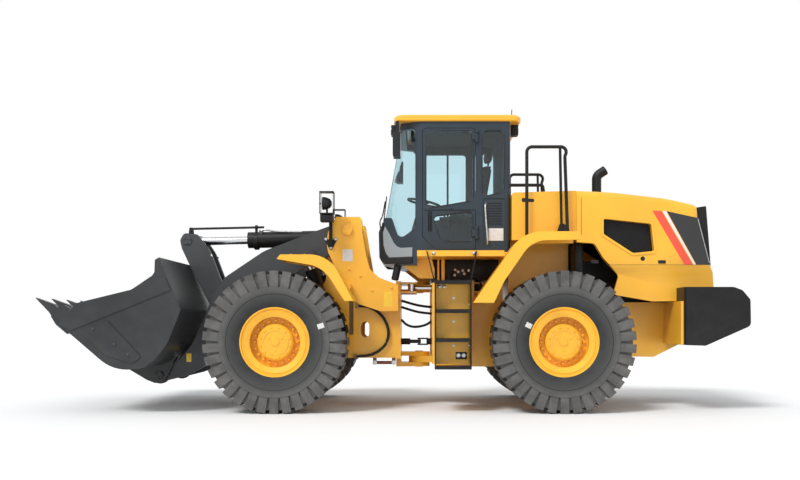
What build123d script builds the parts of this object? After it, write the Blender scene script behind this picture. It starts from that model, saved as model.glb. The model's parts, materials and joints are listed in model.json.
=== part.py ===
"""Articulated wheel loader with a Z-bar loading arm, in millimetres.

X runs forward to the bucket, Y to the driver's left, Z up, and the tyres stand on Z = 0.
An outline is a list of points, (a, b) for a sharp corner and (a, b, radius) for a round one.
Side outlines are (x, z) and plan outlines (x, y), with x counted from the articulation pins.
"""

from build123d import *
from math import asin, cos, hypot, radians, sin
import os

# ---------------------------------------------------------------- driving dimensions
PIVOT_X = -264.0  # articulation pins, from the middle of the whole length
FRONT_AXLE_X = 1600.0
REAR_AXLE_X = -1600.0
TRACK = 2200.0

TYRE_R = 790.0  # to the lugs' corners
TYRE_W = 596.0
LUG_COUNT = 34  # on each half of the tread
LUG_L = 96.0
LUG_H = 38.0
LUG_TURN = 180.0 / LUG_COUNT  # half a pitch, in degrees
RIM_R = 388.0
RIM_W = 500.0
SEAT_GAP = 0.3  # between pieces that seat on each other
PIN_GAP = 0.1  # round a pin that turns in its bore
EYE_GAP = 4.0  # beside an eye that only lines up with its pin

HUB_FACE = 60.0  # from the wheel's middle out to the face that seats on the axle
AXLE_Z = TYRE_R * cos(radians(LUG_TURN) - asin(LUG_L / 2 / TYRE_R))
SHAFT_Z = 774.0
SHAFT_R = 39.0

BOOM_PIN = (850.0, 2100.0)
BUCKET_PIN = (3080.0, 385.0)
ROCKER_PIN = (2400.0, 1200.0)
ROD_PIN = (2848.0, 2018.0)
LINK_PIN = (2091.0, 506.0)
EAR_PIN = (2768.0, 565.0)
TILT_BASE = (1080.0, 2058.0)
LIFT_BASE = (1000.0, 760.0)
LIFT_PIN = (1309.0, 1779.0)

LIFT_R = 80.0  # lift cylinder barrels
LIFT_TYRE_GAP = 32.0
LIFT_Y = TRACK / 2 - TYRE_W / 2 - LIFT_TYRE_GAP - LIFT_R
TOWER_OUT_Y = LIFT_Y - 110.0
BOOM_Y = LIFT_Y - 180.0  # middle of each arm plate
TOWER_IN_Y = LIFT_Y - 260.0
BOOM_T = 64.0
TOWER_T = 36.0
BOOM_PIN_R = 65.0
BUCKET_PIN_R = 45.0
ROCKER_PIN_R = 55.0
LINK_PIN_R = 42.0
BASE_PIN_R = 42.0  # foot of the lift and tilt cylinders

STEER_Z = 1430.0
STEER_PIN = (90.0, 300.0)
STEER_BASE = (-720.0, 330.0)
STEER_PIN_R = 25.0
STEER_EAR = 44.0  # half the space between the ears of a steering cylinder
STEER_EAR_T = 20.0
STEER_EYE_R = 60.0

CAB_Y = 800.0
CAB_WALL = 60.0
DECK_Z = 1820.0
DECK_T = 66.0
DECK_Y = 1150.0
HOOD_Y = 900.0
HOOD_BULGE = 50.0  # how far the hood stands out above its crease
HOOD_T = 40.0
BUCKET_W = 2940.0
BUCKET_T = 30.0
TOOTH_COUNT = 7
SIDES = (("left", 1), ("right", -1))


# ---------------------------------------------------------------- planes and helpers
def side(y):
    """The upright plane at y, seen from the machine's right: its axes are X and Z."""
    return Plane(origin=(PIVOT_X, y, 0), x_dir=(1, 0, 0), z_dir=(0, -1, 0))


def level(z):
    """The flat plane at height z: its axes are X and Y."""
    return Plane(origin=(PIVOT_X, 0, z), x_dir=(1, 0, 0), z_dir=(0, 0, 1))


def across(x):
    """The upright plane at x, seen from behind the bucket: its axes are Y and Z."""
    return Plane(origin=(PIVOT_X + x, 0, 0), x_dir=(0, 1, 0), z_dir=(1, 0, 0))


def outline(points):
    """Fill a closed outline in the sketch that is being drawn."""
    corners = [point[:2] for point in points]
    radii = [point[2] if len(point) > 2 else 0 for point in points]
    with BuildLine() as edge:
        FilletPolyline(*corners, radius=radii, close=True)
    make_face(edge.line)


def slab(points, y, width, mode=Mode.ADD):
    """A plate of a side outline, its middle at y."""
    with BuildSketch(side(y)) as face:
        outline(points)
    extrude(face.sketch, amount=width / 2, both=True, mode=mode)


def sheet(points, z, height, mode=Mode.ADD):
    """A plate of a plan outline that stands on z."""
    with BuildSketch(level(z)) as face:
        outline(points)
    extrude(face.sketch, amount=height, mode=mode)


def drum(centre, y, radius, width, mode=Mode.ADD):
    """A disc or pin whose axis runs across the machine, its middle at y."""
    with BuildSketch(side(y)) as face:
        with Locations(centre):
            Circle(radius)
    extrude(face.sketch, amount=width / 2, both=True, mode=mode)


def post(centre, z, radius, height, mode=Mode.ADD):
    """An upright cylinder that stands on z."""
    with BuildSketch(level(z)) as face:
        with Locations(centre):
            Circle(radius)
    extrude(face.sketch, amount=height, mode=mode)


def block(x, y, z, mode=Mode.ADD):
    """A straight block from its three (low, high) pairs."""
    with BuildSketch(level(z[0])) as face:
        with Locations(((x[0] + x[1]) / 2, (y[0] + y[1]) / 2)):
            Rectangle(x[1] - x[0], y[1] - y[0])
    extrude(face.sketch, amount=z[1] - z[0], mode=mode)


def between(start, end, y):
    """The plane that stands on start and faces end, both points of one side plane."""
    length = hypot(end[0] - start[0], end[1] - start[1])
    along = ((end[0] - start[0]) / length, 0, (end[1] - start[1]) / length)
    return Plane(origin=(PIVOT_X + start[0], y, start[1]), x_dir=(0, 1, 0), z_dir=along)


def bar(start, end, y, radius, mode=Mode.ADD):
    """A round bar between two points of one side plane."""
    with BuildSketch(between(start, end, y)) as face:
        Circle(radius)
    extrude(face.sketch, amount=hypot(end[0] - start[0], end[1] - start[1]), mode=mode)


def strip(start, end, y, width, thickness, mode=Mode.ADD):
    """A flat bar between two points of one side plane."""
    with BuildSketch(between(start, end, y)) as face:
        Rectangle(width, thickness)
    extrude(face.sketch, amount=hypot(end[0] - start[0], end[1] - start[1]), mode=mode)


def tube(route, radii, y, radius):
    """A bent round tube in one side plane, straight between its arcs."""
    with BuildLine(side(y)) as path:
        FilletPolyline(*route, radius=radii)
    with BuildSketch(between(route[0], route[1], y)) as face:
        Circle(radius)
    sweep(face.sketch, path=path.line)


def towards(start, end, distance):
    """The point that lies a distance from start, on the way to end."""
    share = distance / hypot(end[0] - start[0], end[1] - start[1])
    return (start[0] + (end[0] - start[0]) * share, start[1] + (end[1] - start[1]) * share)


def reach(sign, inner, outer):
    """The (low, high) pair from inner to outer on the side of the machine that sign names."""
    return tuple(sorted((sign * inner, sign * outer)))


def keep(piece, name):
    """Label a finished piece and write it."""
    piece.label = name
    export_step(piece, f"parts/{name}.step")


os.makedirs("parts", exist_ok=True)

# ---------------------------------------------------------------- wheels
# Both pieces are made lying flat, with the machine's outer side up, and are then stood up.
TREAD_R = TYRE_R - LUG_H
SHOULDER_R = 612.0  # foot of the lugs on the sidewall
SHOULDER_IN = 26.0  # depth of the space between two lugs, at the shoulder
WAIST_R = 500.0
WAIST_IN = 14.0
BEAD_IN = 2.0
TREAD_GROOVE = 12.0
LUG_FLAT = (TYRE_R**2 - (LUG_L / 2) ** 2) ** 0.5
LUG_IN = 4.0
RIGHT_ANGLE = 90.0  # one lug stands at the foot of each half
LUG_ROOT = 12.0

LIP_T = 14.0
LIP_GROOVE = 18.0
RING_R = 344.0  # outer edge of the sloping ring
RECESS_R = 281.0
RECESS_OUT = 222.0
DISC_OUT = 105.0
HUB_R = 201.0
HUB_OUT = 204.0
HUB_BEVEL = 20.0
RIDGE_R = (128.0, 150.0)
RIDGE_H = 6.0
RIM_PROFILE = [
    # radius, out from the wheel's middle
    (0, HUB_FACE),
    (RIM_R - 2 * LIP_T, HUB_FACE),
    (RIM_R - 2 * LIP_T, -RIM_W / 2),
    (RIM_R - SEAT_GAP, -RIM_W / 2),
    (RIM_R - SEAT_GAP, RIM_W / 2),
    (RIM_R - LIP_T, RIM_W / 2),
    (RIM_R - 1.5 * LIP_T, RIM_W / 2 - LIP_GROOVE),
    (RING_R + 8, RIM_W / 2 - LIP_GROOVE),
    (RING_R, RIM_W / 2 - LIP_GROOVE / 2),
    (RECESS_R, RECESS_OUT),
    (RECESS_R, DISC_OUT),
    (HUB_R, DISC_OUT),
    (HUB_R, HUB_OUT - HUB_BEVEL),
    (HUB_R - HUB_BEVEL, HUB_OUT),
    (RIDGE_R[1], HUB_OUT),
    (RIDGE_R[1], HUB_OUT + RIDGE_H),
    (RIDGE_R[0], HUB_OUT + RIDGE_H),
    (RIDGE_R[0], HUB_OUT),
    (0, HUB_OUT),
]
WHEELS = [
    # name, x of the axle, side
    (f"{end}_{name}", x, sign)
    for end, x in (("front", FRONT_AXLE_X), ("rear", REAR_AXLE_X))
    for name, sign in SIDES
]

with BuildPart() as tyre:
    with BuildSketch(Plane.XZ):
        with BuildLine():
            Line((RIM_R, 0), (RIM_R, RIM_W / 2 - BEAD_IN))
            ThreePointArc(
                (RIM_R, RIM_W / 2 - BEAD_IN),
                (WAIST_R, TYRE_W / 2 - WAIST_IN),
                (SHOULDER_R, TYRE_W / 2),
            )
            Polyline(
                (SHOULDER_R, TYRE_W / 2),
                (SHOULDER_R, TYRE_W / 2 - SHOULDER_IN),
                (TREAD_R, TYRE_W / 2 - SHOULDER_IN),
                (TREAD_R, 0),
            )
            mirror(about=Plane.XZ)
        make_face()
    revolve(axis=Axis.Z)
    for half, first in ((1, RIGHT_ANGLE), (-1, RIGHT_ANGLE + LUG_TURN)):
        root = SHOULDER_R - LUG_ROOT
        with BuildSketch(Plane.XY.offset(half * TREAD_GROOVE / 2)) as lugs:
            with PolarLocations((LUG_FLAT + root) / 2, LUG_COUNT, start_angle=first):
                Rectangle(LUG_FLAT - root, LUG_L)
        extrude(lugs.sketch, amount=half * (TYRE_W / 2 - LUG_IN - TREAD_GROOVE / 2))

with BuildPart() as rim:
    with BuildSketch(Plane.XZ):
        outline(RIM_PROFILE)
    revolve(axis=Axis.Z)

for name, x, sign in WHEELS:
    place = Location((PIVOT_X + x, sign * TRACK / 2, AXLE_Z), (-90 * sign, 0, 0))
    keep(tyre.part.moved(place), f"tyre_{name}")
    keep(rim.part.moved(place), f"rim_{name}")

# ---------------------------------------------------------------- axles
AXLE_TOP = 135.0  # from the axle's middle up to the frame's seat
PAD_X = 130.0
PAD_Y = (330.0, 520.0)
ARM_R = 118.0
BRAKE_R = 205.0
BRAKE_L = 260.0
BOWL_R = 250.0
PINION_L = 400.0
PINION_R = 92.0
HUB_REACH = TRACK / 2 + HUB_FACE - SEAT_GAP
AXLE_HALF = [
    # out from the machine's middle, radius, rounding
    (HUB_REACH, BRAKE_R, 0),
    (HUB_REACH - BRAKE_L, BRAKE_R, 30),
    (HUB_REACH - BRAKE_L - 60, ARM_R, 60),
    (260, ARM_R + 12, 120),
    (120, BOWL_R, 90),
]
for end, x, inward in (("front", FRONT_AXLE_X, -1), ("rear", REAR_AXLE_X, 1)):
    with BuildPart() as axle:
        with BuildSketch(across(x)) as housing:
            outline(
                [(-HUB_REACH, AXLE_Z)]
                + [(-out, AXLE_Z + radius, rounding) for out, radius, rounding in AXLE_HALF]
                + [(out, AXLE_Z + radius, rounding) for out, radius, rounding in reversed(AXLE_HALF)]
                + [(HUB_REACH, AXLE_Z)]
            )
        revolve(housing.sketch, axis=Axis((PIVOT_X + x, 0, AXLE_Z), (0, 1, 0)))
        bar((x, SHAFT_Z), (x + inward * PINION_L, SHAFT_Z), 0, PINION_R)
        for name, sign in SIDES:
            block((x - PAD_X, x + PAD_X), reach(sign, *PAD_Y), (AXLE_Z - AXLE_TOP, AXLE_Z + AXLE_TOP))
    keep(axle.part, f"{end}_axle")

# ---------------------------------------------------------------- rear frame
HINGE_R = 130.0
HINGE_PIN_R = 50.0
HINGE_PIN_OUT = 10.0
HINGE_ROOT = 200.0  # half width of each lug where it leaves its frame
HINGES = [
    # underside, height, thickness of each front ear
    (1384.0, 120.0, 32.0),
    (470.0, 180.0, 50.0),
]
NOSE_X = -190.0
NOSE_Y = 230.0
NOSE_T = 36.0
NOSE_TOP = 1504.0
NOSE_BACK = -760.0
BULKHEAD_X = -580.0
RAIL_Y = 420.0
RAIL_T = 40.0
RAIL_FOOT = 480.0
RAIL_TOP = 1190.0
RAIL = [
    (-540, RAIL_FOOT, 30),
    (-540, RAIL_TOP, 20),
    (-760, 1250, 60),
    (-3080, 1250, 20),
    (-3108, 742),
    (-2812, 595, 40),
    (-2150, 607, 200),
    (-1900, AXLE_Z + AXLE_TOP),
    (-1300, AXLE_Z + AXLE_TOP),
    (-1180, 640, 80),
    (-900, RAIL_FOOT, 100),
]
NOSE_PLAN = [(BULKHEAD_X, RAIL_Y), (NOSE_X, NOSE_Y, 40), (NOSE_X, -NOSE_Y, 40), (BULKHEAD_X, -RAIL_Y)]
NOSE_ROOM = [
    (BULKHEAD_X + NOSE_T, RAIL_Y - 1.6 * NOSE_T),
    (NOSE_X - NOSE_T, NOSE_Y - NOSE_T),
    (NOSE_X - NOSE_T, NOSE_T - NOSE_Y),
    (BULKHEAD_X + NOSE_T, 1.6 * NOSE_T - RAIL_Y),
]
BEAM_W = 60.0
BEAM_Z = (960.0, 1040.0)
CROSS_BEAMS = [-790.0, -1930.0, -2750.0, -3050.0]
DECK_POSTS = [-960.0, -620.0]
DECK_POST_W = 80.0
TAIL_X = -2961.0  # where the counterweight seats
TAIL_T = 30.0
TAIL_Y = 1190.0
TAIL_Z = (760.0, 1248.0)

with BuildPart() as rear_frame:
    sheet(NOSE_PLAN, RAIL_FOOT, RAIL_TOP - RAIL_FOOT)
    sheet(NOSE_ROOM, 0, 2 * RAIL_TOP, mode=Mode.SUBTRACT)
    block((NOSE_BACK, NOSE_X), (-NOSE_Y, NOSE_Y), (BEAM_Z[1] - NOSE_T, NOSE_TOP))
    block(
        (NOSE_BACK + NOSE_T, NOSE_X - NOSE_T),
        (NOSE_T - NOSE_Y, NOSE_Y - NOSE_T),
        (BEAM_Z[1] - NOSE_T, NOSE_TOP - NOSE_T),
        mode=Mode.SUBTRACT,
    )
    for name, sign in SIDES:
        slab(RAIL, sign * RAIL_Y, RAIL_T)
    for x in CROSS_BEAMS:
        block((x, x + BEAM_W), (-RAIL_Y, RAIL_Y), BEAM_Z)
    block((TAIL_X, TAIL_X + TAIL_T), (-TAIL_Y, TAIL_Y), TAIL_Z)
    for foot, height, ear in HINGES:
        low = foot + ear + SEAT_GAP
        with BuildSketch(level(low)) as tongue:
            Circle(HINGE_R)
            with Locations((NOSE_X - NOSE_T / 2, 0)):
                Rectangle(NOSE_T, 2 * HINGE_ROOT)
            make_hull()
        extrude(tongue.sketch, amount=height - 2 * (ear + SEAT_GAP))
        post((0, 0), foot - HINGE_PIN_OUT, HINGE_PIN_R, height + 2 * HINGE_PIN_OUT)
    bar((2 * NOSE_BACK, SHAFT_Z), (0, SHAFT_Z), 0, SHAFT_R + PIN_GAP, mode=Mode.SUBTRACT)
    for name, sign in SIDES:
        rail = reach(sign, RAIL_Y - RAIL_T / 2, RAIL_Y + RAIL_T / 2)
        for x in DECK_POSTS:
            block((x - DECK_POST_W / 2, x + DECK_POST_W / 2), rail, (RAIL_TOP, DECK_Z - DECK_T))
        ear = reach(sign, NOSE_Y - NOSE_T, STEER_BASE[1] + STEER_EYE_R)
        for low in (STEER_Z - STEER_EAR - STEER_EAR_T, STEER_Z + STEER_EAR):
            block((STEER_BASE[0] - STEER_EYE_R, STEER_BASE[0] + STEER_EYE_R), ear, (low, low + STEER_EAR_T))
        post(
            (STEER_BASE[0], sign * STEER_BASE[1]),
            STEER_Z - STEER_EAR - STEER_EAR_T,
            STEER_PIN_R,
            2 * (STEER_EAR + STEER_EAR_T),
        )
keep(rear_frame.part, "rear_frame")

ENGINE_PAN = [(-2800, 1040, 80), (-2800, 1500), (-1920, 1500), (-1920, 1040, 80)]
ENGINE_TOP = [(-2780, 1500), (-2780, 1760, 60), (-1960, 1760, 60), (-1960, 1500)]
ENGINE_Y = 300.0
ENGINE_TOP_Y = 210.0
with BuildPart() as engine:
    slab(ENGINE_PAN, 0, 2 * ENGINE_Y)
    slab(ENGINE_TOP, 0, 2 * ENGINE_TOP_Y)
keep(engine.part, "engine_block")

# ---------------------------------------------------------------- hood, tank cover, fenders, tail
HOOD_BACK_Z = 2340.0  # the hood's top edges all lie above this
HOOD = [
    (-1804, 2526),
    (-2220, 2508, 2000),
    (-2850, 2436, 2000),
    (-3193, 2355, 60),
    (-3205, 2200, 60),
    (-3330, 1667),
    (-3377, 1581),
    (-3389, 1405),
    (-2961, 1405),
    (-2961, 1254),
    (-2690, 1251, 100),
    (-2232, 1330, 40),
    (-2295, 1547, 60),
    (-2224, 1623, 80),
    (-2104, 1753, 60),
    (-2009, 1915, 60),
    (-1804, 1930),
]
HOOD_HOLLOW = [
    (-1700, 2487),
    (-2220, 2468),
    (-2850, 2396),
    (-3155, 2315),
    (-3165, 2200),
    (-3290, 1672),
    (-3337, 1590),
    (-3349, 1200),
    (-2170, 1200),
    (-2255, 1560),
    (-2190, 1600),
    (-2070, 1735),
    (-1990, 1890),
    (-1700, 1890),
]
HOOD_CREASE = (1570.0, 1668.0)
HOOD_SECTION = [
    (HOOD_Y, 1000),
    (HOOD_Y, HOOD_CREASE[0]),
    (HOOD_Y + HOOD_BULGE, HOOD_CREASE[1]),
    (HOOD_Y + HOOD_BULGE, 2600),
    (-HOOD_Y - HOOD_BULGE, 2600),
    (-HOOD_Y - HOOD_BULGE, HOOD_CREASE[1]),
    (-HOOD_Y, HOOD_CREASE[0]),
    (-HOOD_Y, 1000),
]
HOOD_SHOULDER = 70.0
SCREEN = [(-2110, 2199, 20), (-2654, 2141, 30), (-2690, 1827, 20), (-2447, 1803, 60), (-2110, 2021, 30)]
SCREEN_RIM = [(-2084, 2226, 40), (-2676, 2163, 40), (-2718, 1803, 40), (-2439, 1776, 80), (-2084, 2007, 50)]
SCREEN_RIM_T = 12.0
SCREEN_T = 8.0
REAR_DOORWAY = ((-3400.0, -3100.0), (-700.0, 700.0), (1720.0, 2300.0))
REAR_GRILLE = [(-3199, 2345), (-3345, 2367, 12), (-3399, 1667, 12), (-3336, 1667), (-3211, 2200)]
GRILLE_Y = 760.0
GRILLE_AXIS = ((-3352.0, 1667.0), (-3227.0, 2200.0), -790.0)  # foot, head, y
KNUCKLE_R = 13.0
KNUCKLE_L = 80.0
LUG_R = 24.0
LUG_END = 30.0
GRILLE_HINGES = (90.0, 420.0)  # along the axis
SLAT_COUNT = 9
SLAT_STEP = 52.0
SLAT_FOOT = (-3376.0, 1744.0)
SLAT_HEAD = (-3340.0, 2216.0)
SLAT_SLOT = [(0, 0), (-44, 0), (-44, 30), (20, 22)]
SLAT_Y = 640.0
DOOR_AXIS = (-668.0, 822.0)
DOOR_HINGES = (2010.0, 3130.0)
TANK_COVER = [(-1067, 1958), (-1067, 2504, 30), (-1804, 2526), (-1804, 1960)]
TANK = ((-1790.0, -1067.0), (-420.0, 420.0), (1250.0, 1970.0))
TANK_SLOT = [(-1179, 2444, 14), (-1323, 2430, 14), (-1323, 2394, 14), (-1179, 2394, 14)]
SLOT_DEEP = 24.0
FENDER_OUT_Y = 1380.0
FASCIA = 28.0
REAR_FENDER = [
    (-592, 1226),
    (-1149, 2012, 400),
    (-1768, 2012),
    (-1768, 1920),
    (-1244, 1912, 300),
    (-933, 1463, 300),
    (-822, 1226),
]
REAR_SKIN = [(-592, 1226), (-1149, 2012, 400), (-1768, 2012), (-1768, 1998), (-1156, 1998, 386), (-609, 1226)]
COUNTERWEIGHT = [
    (TAIL_X, 1405),
    (-3504, 1405, 60),
    (-3600, 1370, 80),
    (-3690, 1264, 60),
    (-3695, 972, 60),
    (-3190, 748, 40),
    (TAIL_X, 756),
]
COUNTERWEIGHT_Y = 1250.0
COUNTERWEIGHT_EDGE = 60.0
HITCH_X = -3600.0
HITCH_Z = 1080.0
HITCH_R = 30.0
HITCH_SLOT = 60.0  # half its height
HITCH_BORE = 140.0
HITCH_HALF = 90.0
HITCH_DEEP = 100.0
EXHAUST = [(-2155, 2470), (-2155, 2790, 80), (-2260, 2860)]
EXHAUST_Y = 300.0
EXHAUST_R = 57.0
EXHAUST_T = 5.0

with BuildPart() as hood:
    slab(HOOD, 0, 2 * (HOOD_Y + HOOD_BULGE))
    shoulders = [
        edge
        for edge in hood.edges()
        if abs(abs(edge.center().Y) - HOOD_Y - HOOD_BULGE) < 1 and edge.center().Z > HOOD_BACK_Z
    ]
    fillet(shoulders, radius=HOOD_SHOULDER)
    with BuildSketch(across(0)) as section:
        outline(HOOD_SECTION)
    extrude(section.sketch, amount=-2 * BUCKET_W, mode=Mode.INTERSECT)
    for name, sign in SIDES:
        slab(SCREEN_RIM, sign * (HOOD_Y + HOOD_BULGE), 2 * SCREEN_RIM_T)
    slab(HOOD_HOLLOW, 0, 2 * (HOOD_Y - HOOD_T), mode=Mode.SUBTRACT)
    slab(SCREEN, 0, 3 * HOOD_Y, mode=Mode.SUBTRACT)
    block(*REAR_DOORWAY, mode=Mode.SUBTRACT)
    bar((EXHAUST[0][0], HOOD_CREASE[1]), EXHAUST[1][:2], EXHAUST_Y, EXHAUST_R + PIN_GAP, mode=Mode.SUBTRACT)
    for start in GRILLE_HINGES:
        for low in (start - LUG_END - SEAT_GAP, start + KNUCKLE_L + SEAT_GAP):
            lug = [towards(*GRILLE_AXIS[:2], low), towards(*GRILLE_AXIS[:2], low + LUG_END)]
            bar(*lug, GRILLE_AXIS[2], LUG_R)
keep(hood.part, "hood")

with BuildPart() as hood_screens:
    for name, sign in SIDES:
        slab(SCREEN, sign * (HOOD_Y - HOOD_T / 2), SCREEN_T)
keep(hood_screens.part, "hood_screens")

with BuildPart() as rear_grille:
    slab(REAR_GRILLE, 0, 2 * GRILLE_Y)
    for n in range(SLAT_COUNT):
        foot = towards(SLAT_FOOT, SLAT_HEAD, n * SLAT_STEP)
        slab([(foot[0] + x, foot[1] + z) for x, z in SLAT_SLOT], 0, 2 * SLAT_Y, mode=Mode.SUBTRACT)
    for start in GRILLE_HINGES:
        knuckle = [towards(*GRILLE_AXIS[:2], start), towards(*GRILLE_AXIS[:2], start + KNUCKLE_L)]
        bar(*knuckle, GRILLE_AXIS[2], KNUCKLE_R)
        leaf = abs(GRILLE_AXIS[2]) - GRILLE_Y + 2 * KNUCKLE_R
        strip(*knuckle, GRILLE_AXIS[2] + leaf / 2, leaf, 2 * KNUCKLE_R)
keep(rear_grille.part, "rear_grille")

with BuildPart() as tank_cover:
    slab(TANK_COVER, 0, 2 * HOOD_Y)
    for name, sign in SIDES:
        slab(TANK_SLOT, sign * HOOD_Y, 2 * SLOT_DEEP, mode=Mode.SUBTRACT)
    block(*TANK)
keep(tank_cover.part, "tank_cover")

with BuildPart() as rear_fenders:
    for name, sign in SIDES:
        slab(REAR_SKIN, sign * (HOOD_Y + FENDER_OUT_Y) / 2, FENDER_OUT_Y - HOOD_Y)
        slab(REAR_FENDER, sign * (FENDER_OUT_Y - FASCIA / 2), FASCIA)
        slab(REAR_FENDER, sign * (HOOD_Y + FASCIA / 2), FASCIA)
keep(rear_fenders.part, "rear_fenders")

with BuildPart() as counterweight:
    slab(COUNTERWEIGHT, 0, 2 * COUNTERWEIGHT_Y)
    fillet(counterweight.edges().filter_by(Axis.Z), radius=COUNTERWEIGHT_EDGE)
    block(
        (RAIL[4][0] - BEAM_W, TAIL_X),
        (-RAIL_Y - RAIL_T / 2, RAIL_Y + RAIL_T / 2),
        (0, RAIL[3][1]),
        mode=Mode.SUBTRACT,
    )
    slot = (HITCH_Z - HITCH_SLOT, HITCH_Z + HITCH_SLOT)
    block((-2 * BUCKET_W, HITCH_X + HITCH_DEEP), (-HITCH_HALF, HITCH_HALF), slot, mode=Mode.SUBTRACT)
    post((HITCH_X, 0), 0, HITCH_R, HITCH_Z + HITCH_SLOT + HITCH_BORE, mode=Mode.SUBTRACT)
keep(counterweight.part, "counterweight")

with BuildPart() as exhaust:
    tube([point[:2] for point in EXHAUST], EXHAUST[1][2], EXHAUST_Y, EXHAUST_R)
    mouth = towards(EXHAUST[2], EXHAUST[1], EXHAUST_R)
    bar(mouth, EXHAUST[2], EXHAUST_Y, EXHAUST_R - EXHAUST_T, mode=Mode.SUBTRACT)
keep(exhaust.part, "exhaust")

# ---------------------------------------------------------------- cab
CAB_SILL_Z = 1680.0
CAB_TOP_Z = 3345.0
CAB_REAR_X = -1061.0
CAB_SIDE = [
    (CAB_REAR_X, DECK_Z),
    (CAB_REAR_X, CAB_TOP_Z),
    (215, CAB_TOP_Z),
    (425, 2202),
    (485, 2093, 60),
    (476, 1751, 60),
    (214, CAB_SILL_Z),
    (26, CAB_SILL_Z),
    (26, DECK_Z),
]
CAB_INSIDE = [
    (CAB_REAR_X + CAB_WALL, DECK_Z + CAB_WALL),
    (CAB_REAR_X + CAB_WALL, 2 * CAB_TOP_Z),
    (145, 2 * CAB_TOP_Z),
    (145, CAB_TOP_Z),
    (362, 2202),
    (420, 2085),
    (414, 1812),
    (214, 1745),
    (80, 1745),
    (26, DECK_Z + CAB_WALL),
]
CAB_PLAN = [
    # x, y, rounding, from the rear corner round to the bowed front
    (CAB_REAR_X, CAB_Y, 50),
    (0, CAB_Y, 300),
    (262, 645, 300),
    (500, 495, 110),
]
CAB_BOTTOM_Z = 1500.0
WINDSCREEN = [
    (45, 3270, 60),
    (45, 2120, 60),
    (120, 2060, 60),
    (235, 1985, 60),
    (325, 2250, 40),
    (700, 2250),
    (700, 3270),
]
DOOR = [(-33, 3271, 50), (-656, 3271, 50), (-656, 1850, 30), (-194, 1850, 20), (-33, 2004, 30)]
DOOR_LEAF = [(-39, 3265, 44), (-650, 3265, 44), (-650, 1856, 24), (-190, 1856, 18), (-39, 2006, 26)]
DOOR_OUT = 4.0
HINGE_LEAF = 58.0
DOOR_GLASS = [
    [(-84, 3230, 40), (-619, 3230, 40), (-619, 2429, 40), (-84, 2338, 40)],
    [(-162, 2238, 40), (-619, 2300, 40), (-619, 1955, 40), (-260, 1955, 60)],
]
HANDLE = [(-100, 2300, 15), (-150, 2300, 15), (-150, 2060, 15), (-100, 2060, 15)]
HANDLE_DEEP = 24.0
REAR_SIDE_GLASS = [(-738, 3236, 40), (-984, 3236, 40), (-984, 2533, 40), (-738, 2476, 40)]
VENT = [(-738, 2453, 20), (-1001, 2453, 20), (-1001, 1889, 20), (-738, 1889, 20)]
VENT_DEEP = 12.0
REAR_GLASS = ((-1100.0, -980.0), (-600.0, 600.0), (2620.0, 3230.0))
GLASS_T = 8.0
GLASS_IN = 20.0  # from the cab's outer face to the glass
ROOF_X = (-1188.0, 298.0)
ROOF_Y = 830.0
ROOF_T = 76.0
ROOF_EDGE = 24.0
ROOF_CORNER = 130.0


def cab_volume(profile, inset):
    """The cab's volume of a side outline, drawn in by an inset in plan."""
    half = [(x - inset if n else x + inset, y - inset, r - inset / 2) for n, (x, y, r) in enumerate(CAB_PLAN)]
    with BuildPart() as volume:
        slab(profile, 0, 2 * CAB_Y)
        sheet(half + [(x, -y, r) for x, y, r in reversed(half)], CAB_BOTTOM_Z, CAB_TOP_Z, mode=Mode.INTERSECT)
    return volume.part


def drawn_in(profile, inset):
    """The side outline of the cab with its front moved back by an inset."""
    return [(point[0] - inset, *point[1:]) for point in profile]


cab_room = cab_volume(CAB_INSIDE, CAB_WALL)
screen_out = cab_volume(drawn_in(CAB_SIDE, GLASS_IN), GLASS_IN)
screen_in = cab_volume(drawn_in(CAB_SIDE, GLASS_IN + GLASS_T), GLASS_IN + GLASS_T)

with BuildPart() as cab_frame:
    add(cab_volume(CAB_SIDE, 0))
    add(cab_room, mode=Mode.SUBTRACT)
    slab(WINDSCREEN, 0, 3 * CAB_Y, mode=Mode.SUBTRACT)
    slab(DOOR, CAB_Y, 4 * CAB_WALL, mode=Mode.SUBTRACT)
    slab(DOOR_GLASS[0], -CAB_Y, 4 * CAB_WALL, mode=Mode.SUBTRACT)
    for name, sign in SIDES:
        slab(REAR_SIDE_GLASS, sign * CAB_Y, 4 * CAB_WALL, mode=Mode.SUBTRACT)
        slab(VENT, sign * CAB_Y, 2 * VENT_DEEP, mode=Mode.SUBTRACT)
    block(*REAR_GLASS, mode=Mode.SUBTRACT)
    for z in DOOR_HINGES:
        for low in (z - LUG_END - SEAT_GAP, z + KNUCKLE_L + SEAT_GAP):
            post(DOOR_AXIS, low, LUG_R, LUG_END)
keep(cab_frame.part, "cab_frame")

with BuildPart() as cab_roof:
    sheet(
        [(x, y, ROOF_CORNER) for x, y in zip(ROOF_X + ROOF_X[::-1], (-ROOF_Y, -ROOF_Y, ROOF_Y, ROOF_Y))],
        CAB_TOP_Z,
        ROOF_T,
    )
    chamfer(cab_roof.edges().group_by(Axis.Z)[-1], length=ROOF_EDGE)
    chamfer(cab_roof.edges().group_by(Axis.Z)[0], length=ROOF_EDGE / 2)
keep(cab_roof.part, "cab_roof")

with BuildPart() as cab_door:
    slab(DOOR_LEAF, CAB_Y - (CAB_WALL - DOOR_OUT) / 2, CAB_WALL + DOOR_OUT)
    for pane in DOOR_GLASS:
        slab(pane, CAB_Y, 4 * CAB_WALL, mode=Mode.SUBTRACT)
    slab(HANDLE, CAB_Y + DOOR_OUT, 2 * HANDLE_DEEP, mode=Mode.SUBTRACT)
    for z in DOOR_HINGES:
        post(DOOR_AXIS, z, KNUCKLE_R, KNUCKLE_L)
        block((DOOR_AXIS[0], DOOR_AXIS[0] + HINGE_LEAF), (CAB_Y + SEAT_GAP, DOOR_AXIS[1]), (z, z + KNUCKLE_L))
keep(cab_door.part, "cab_door")

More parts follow.
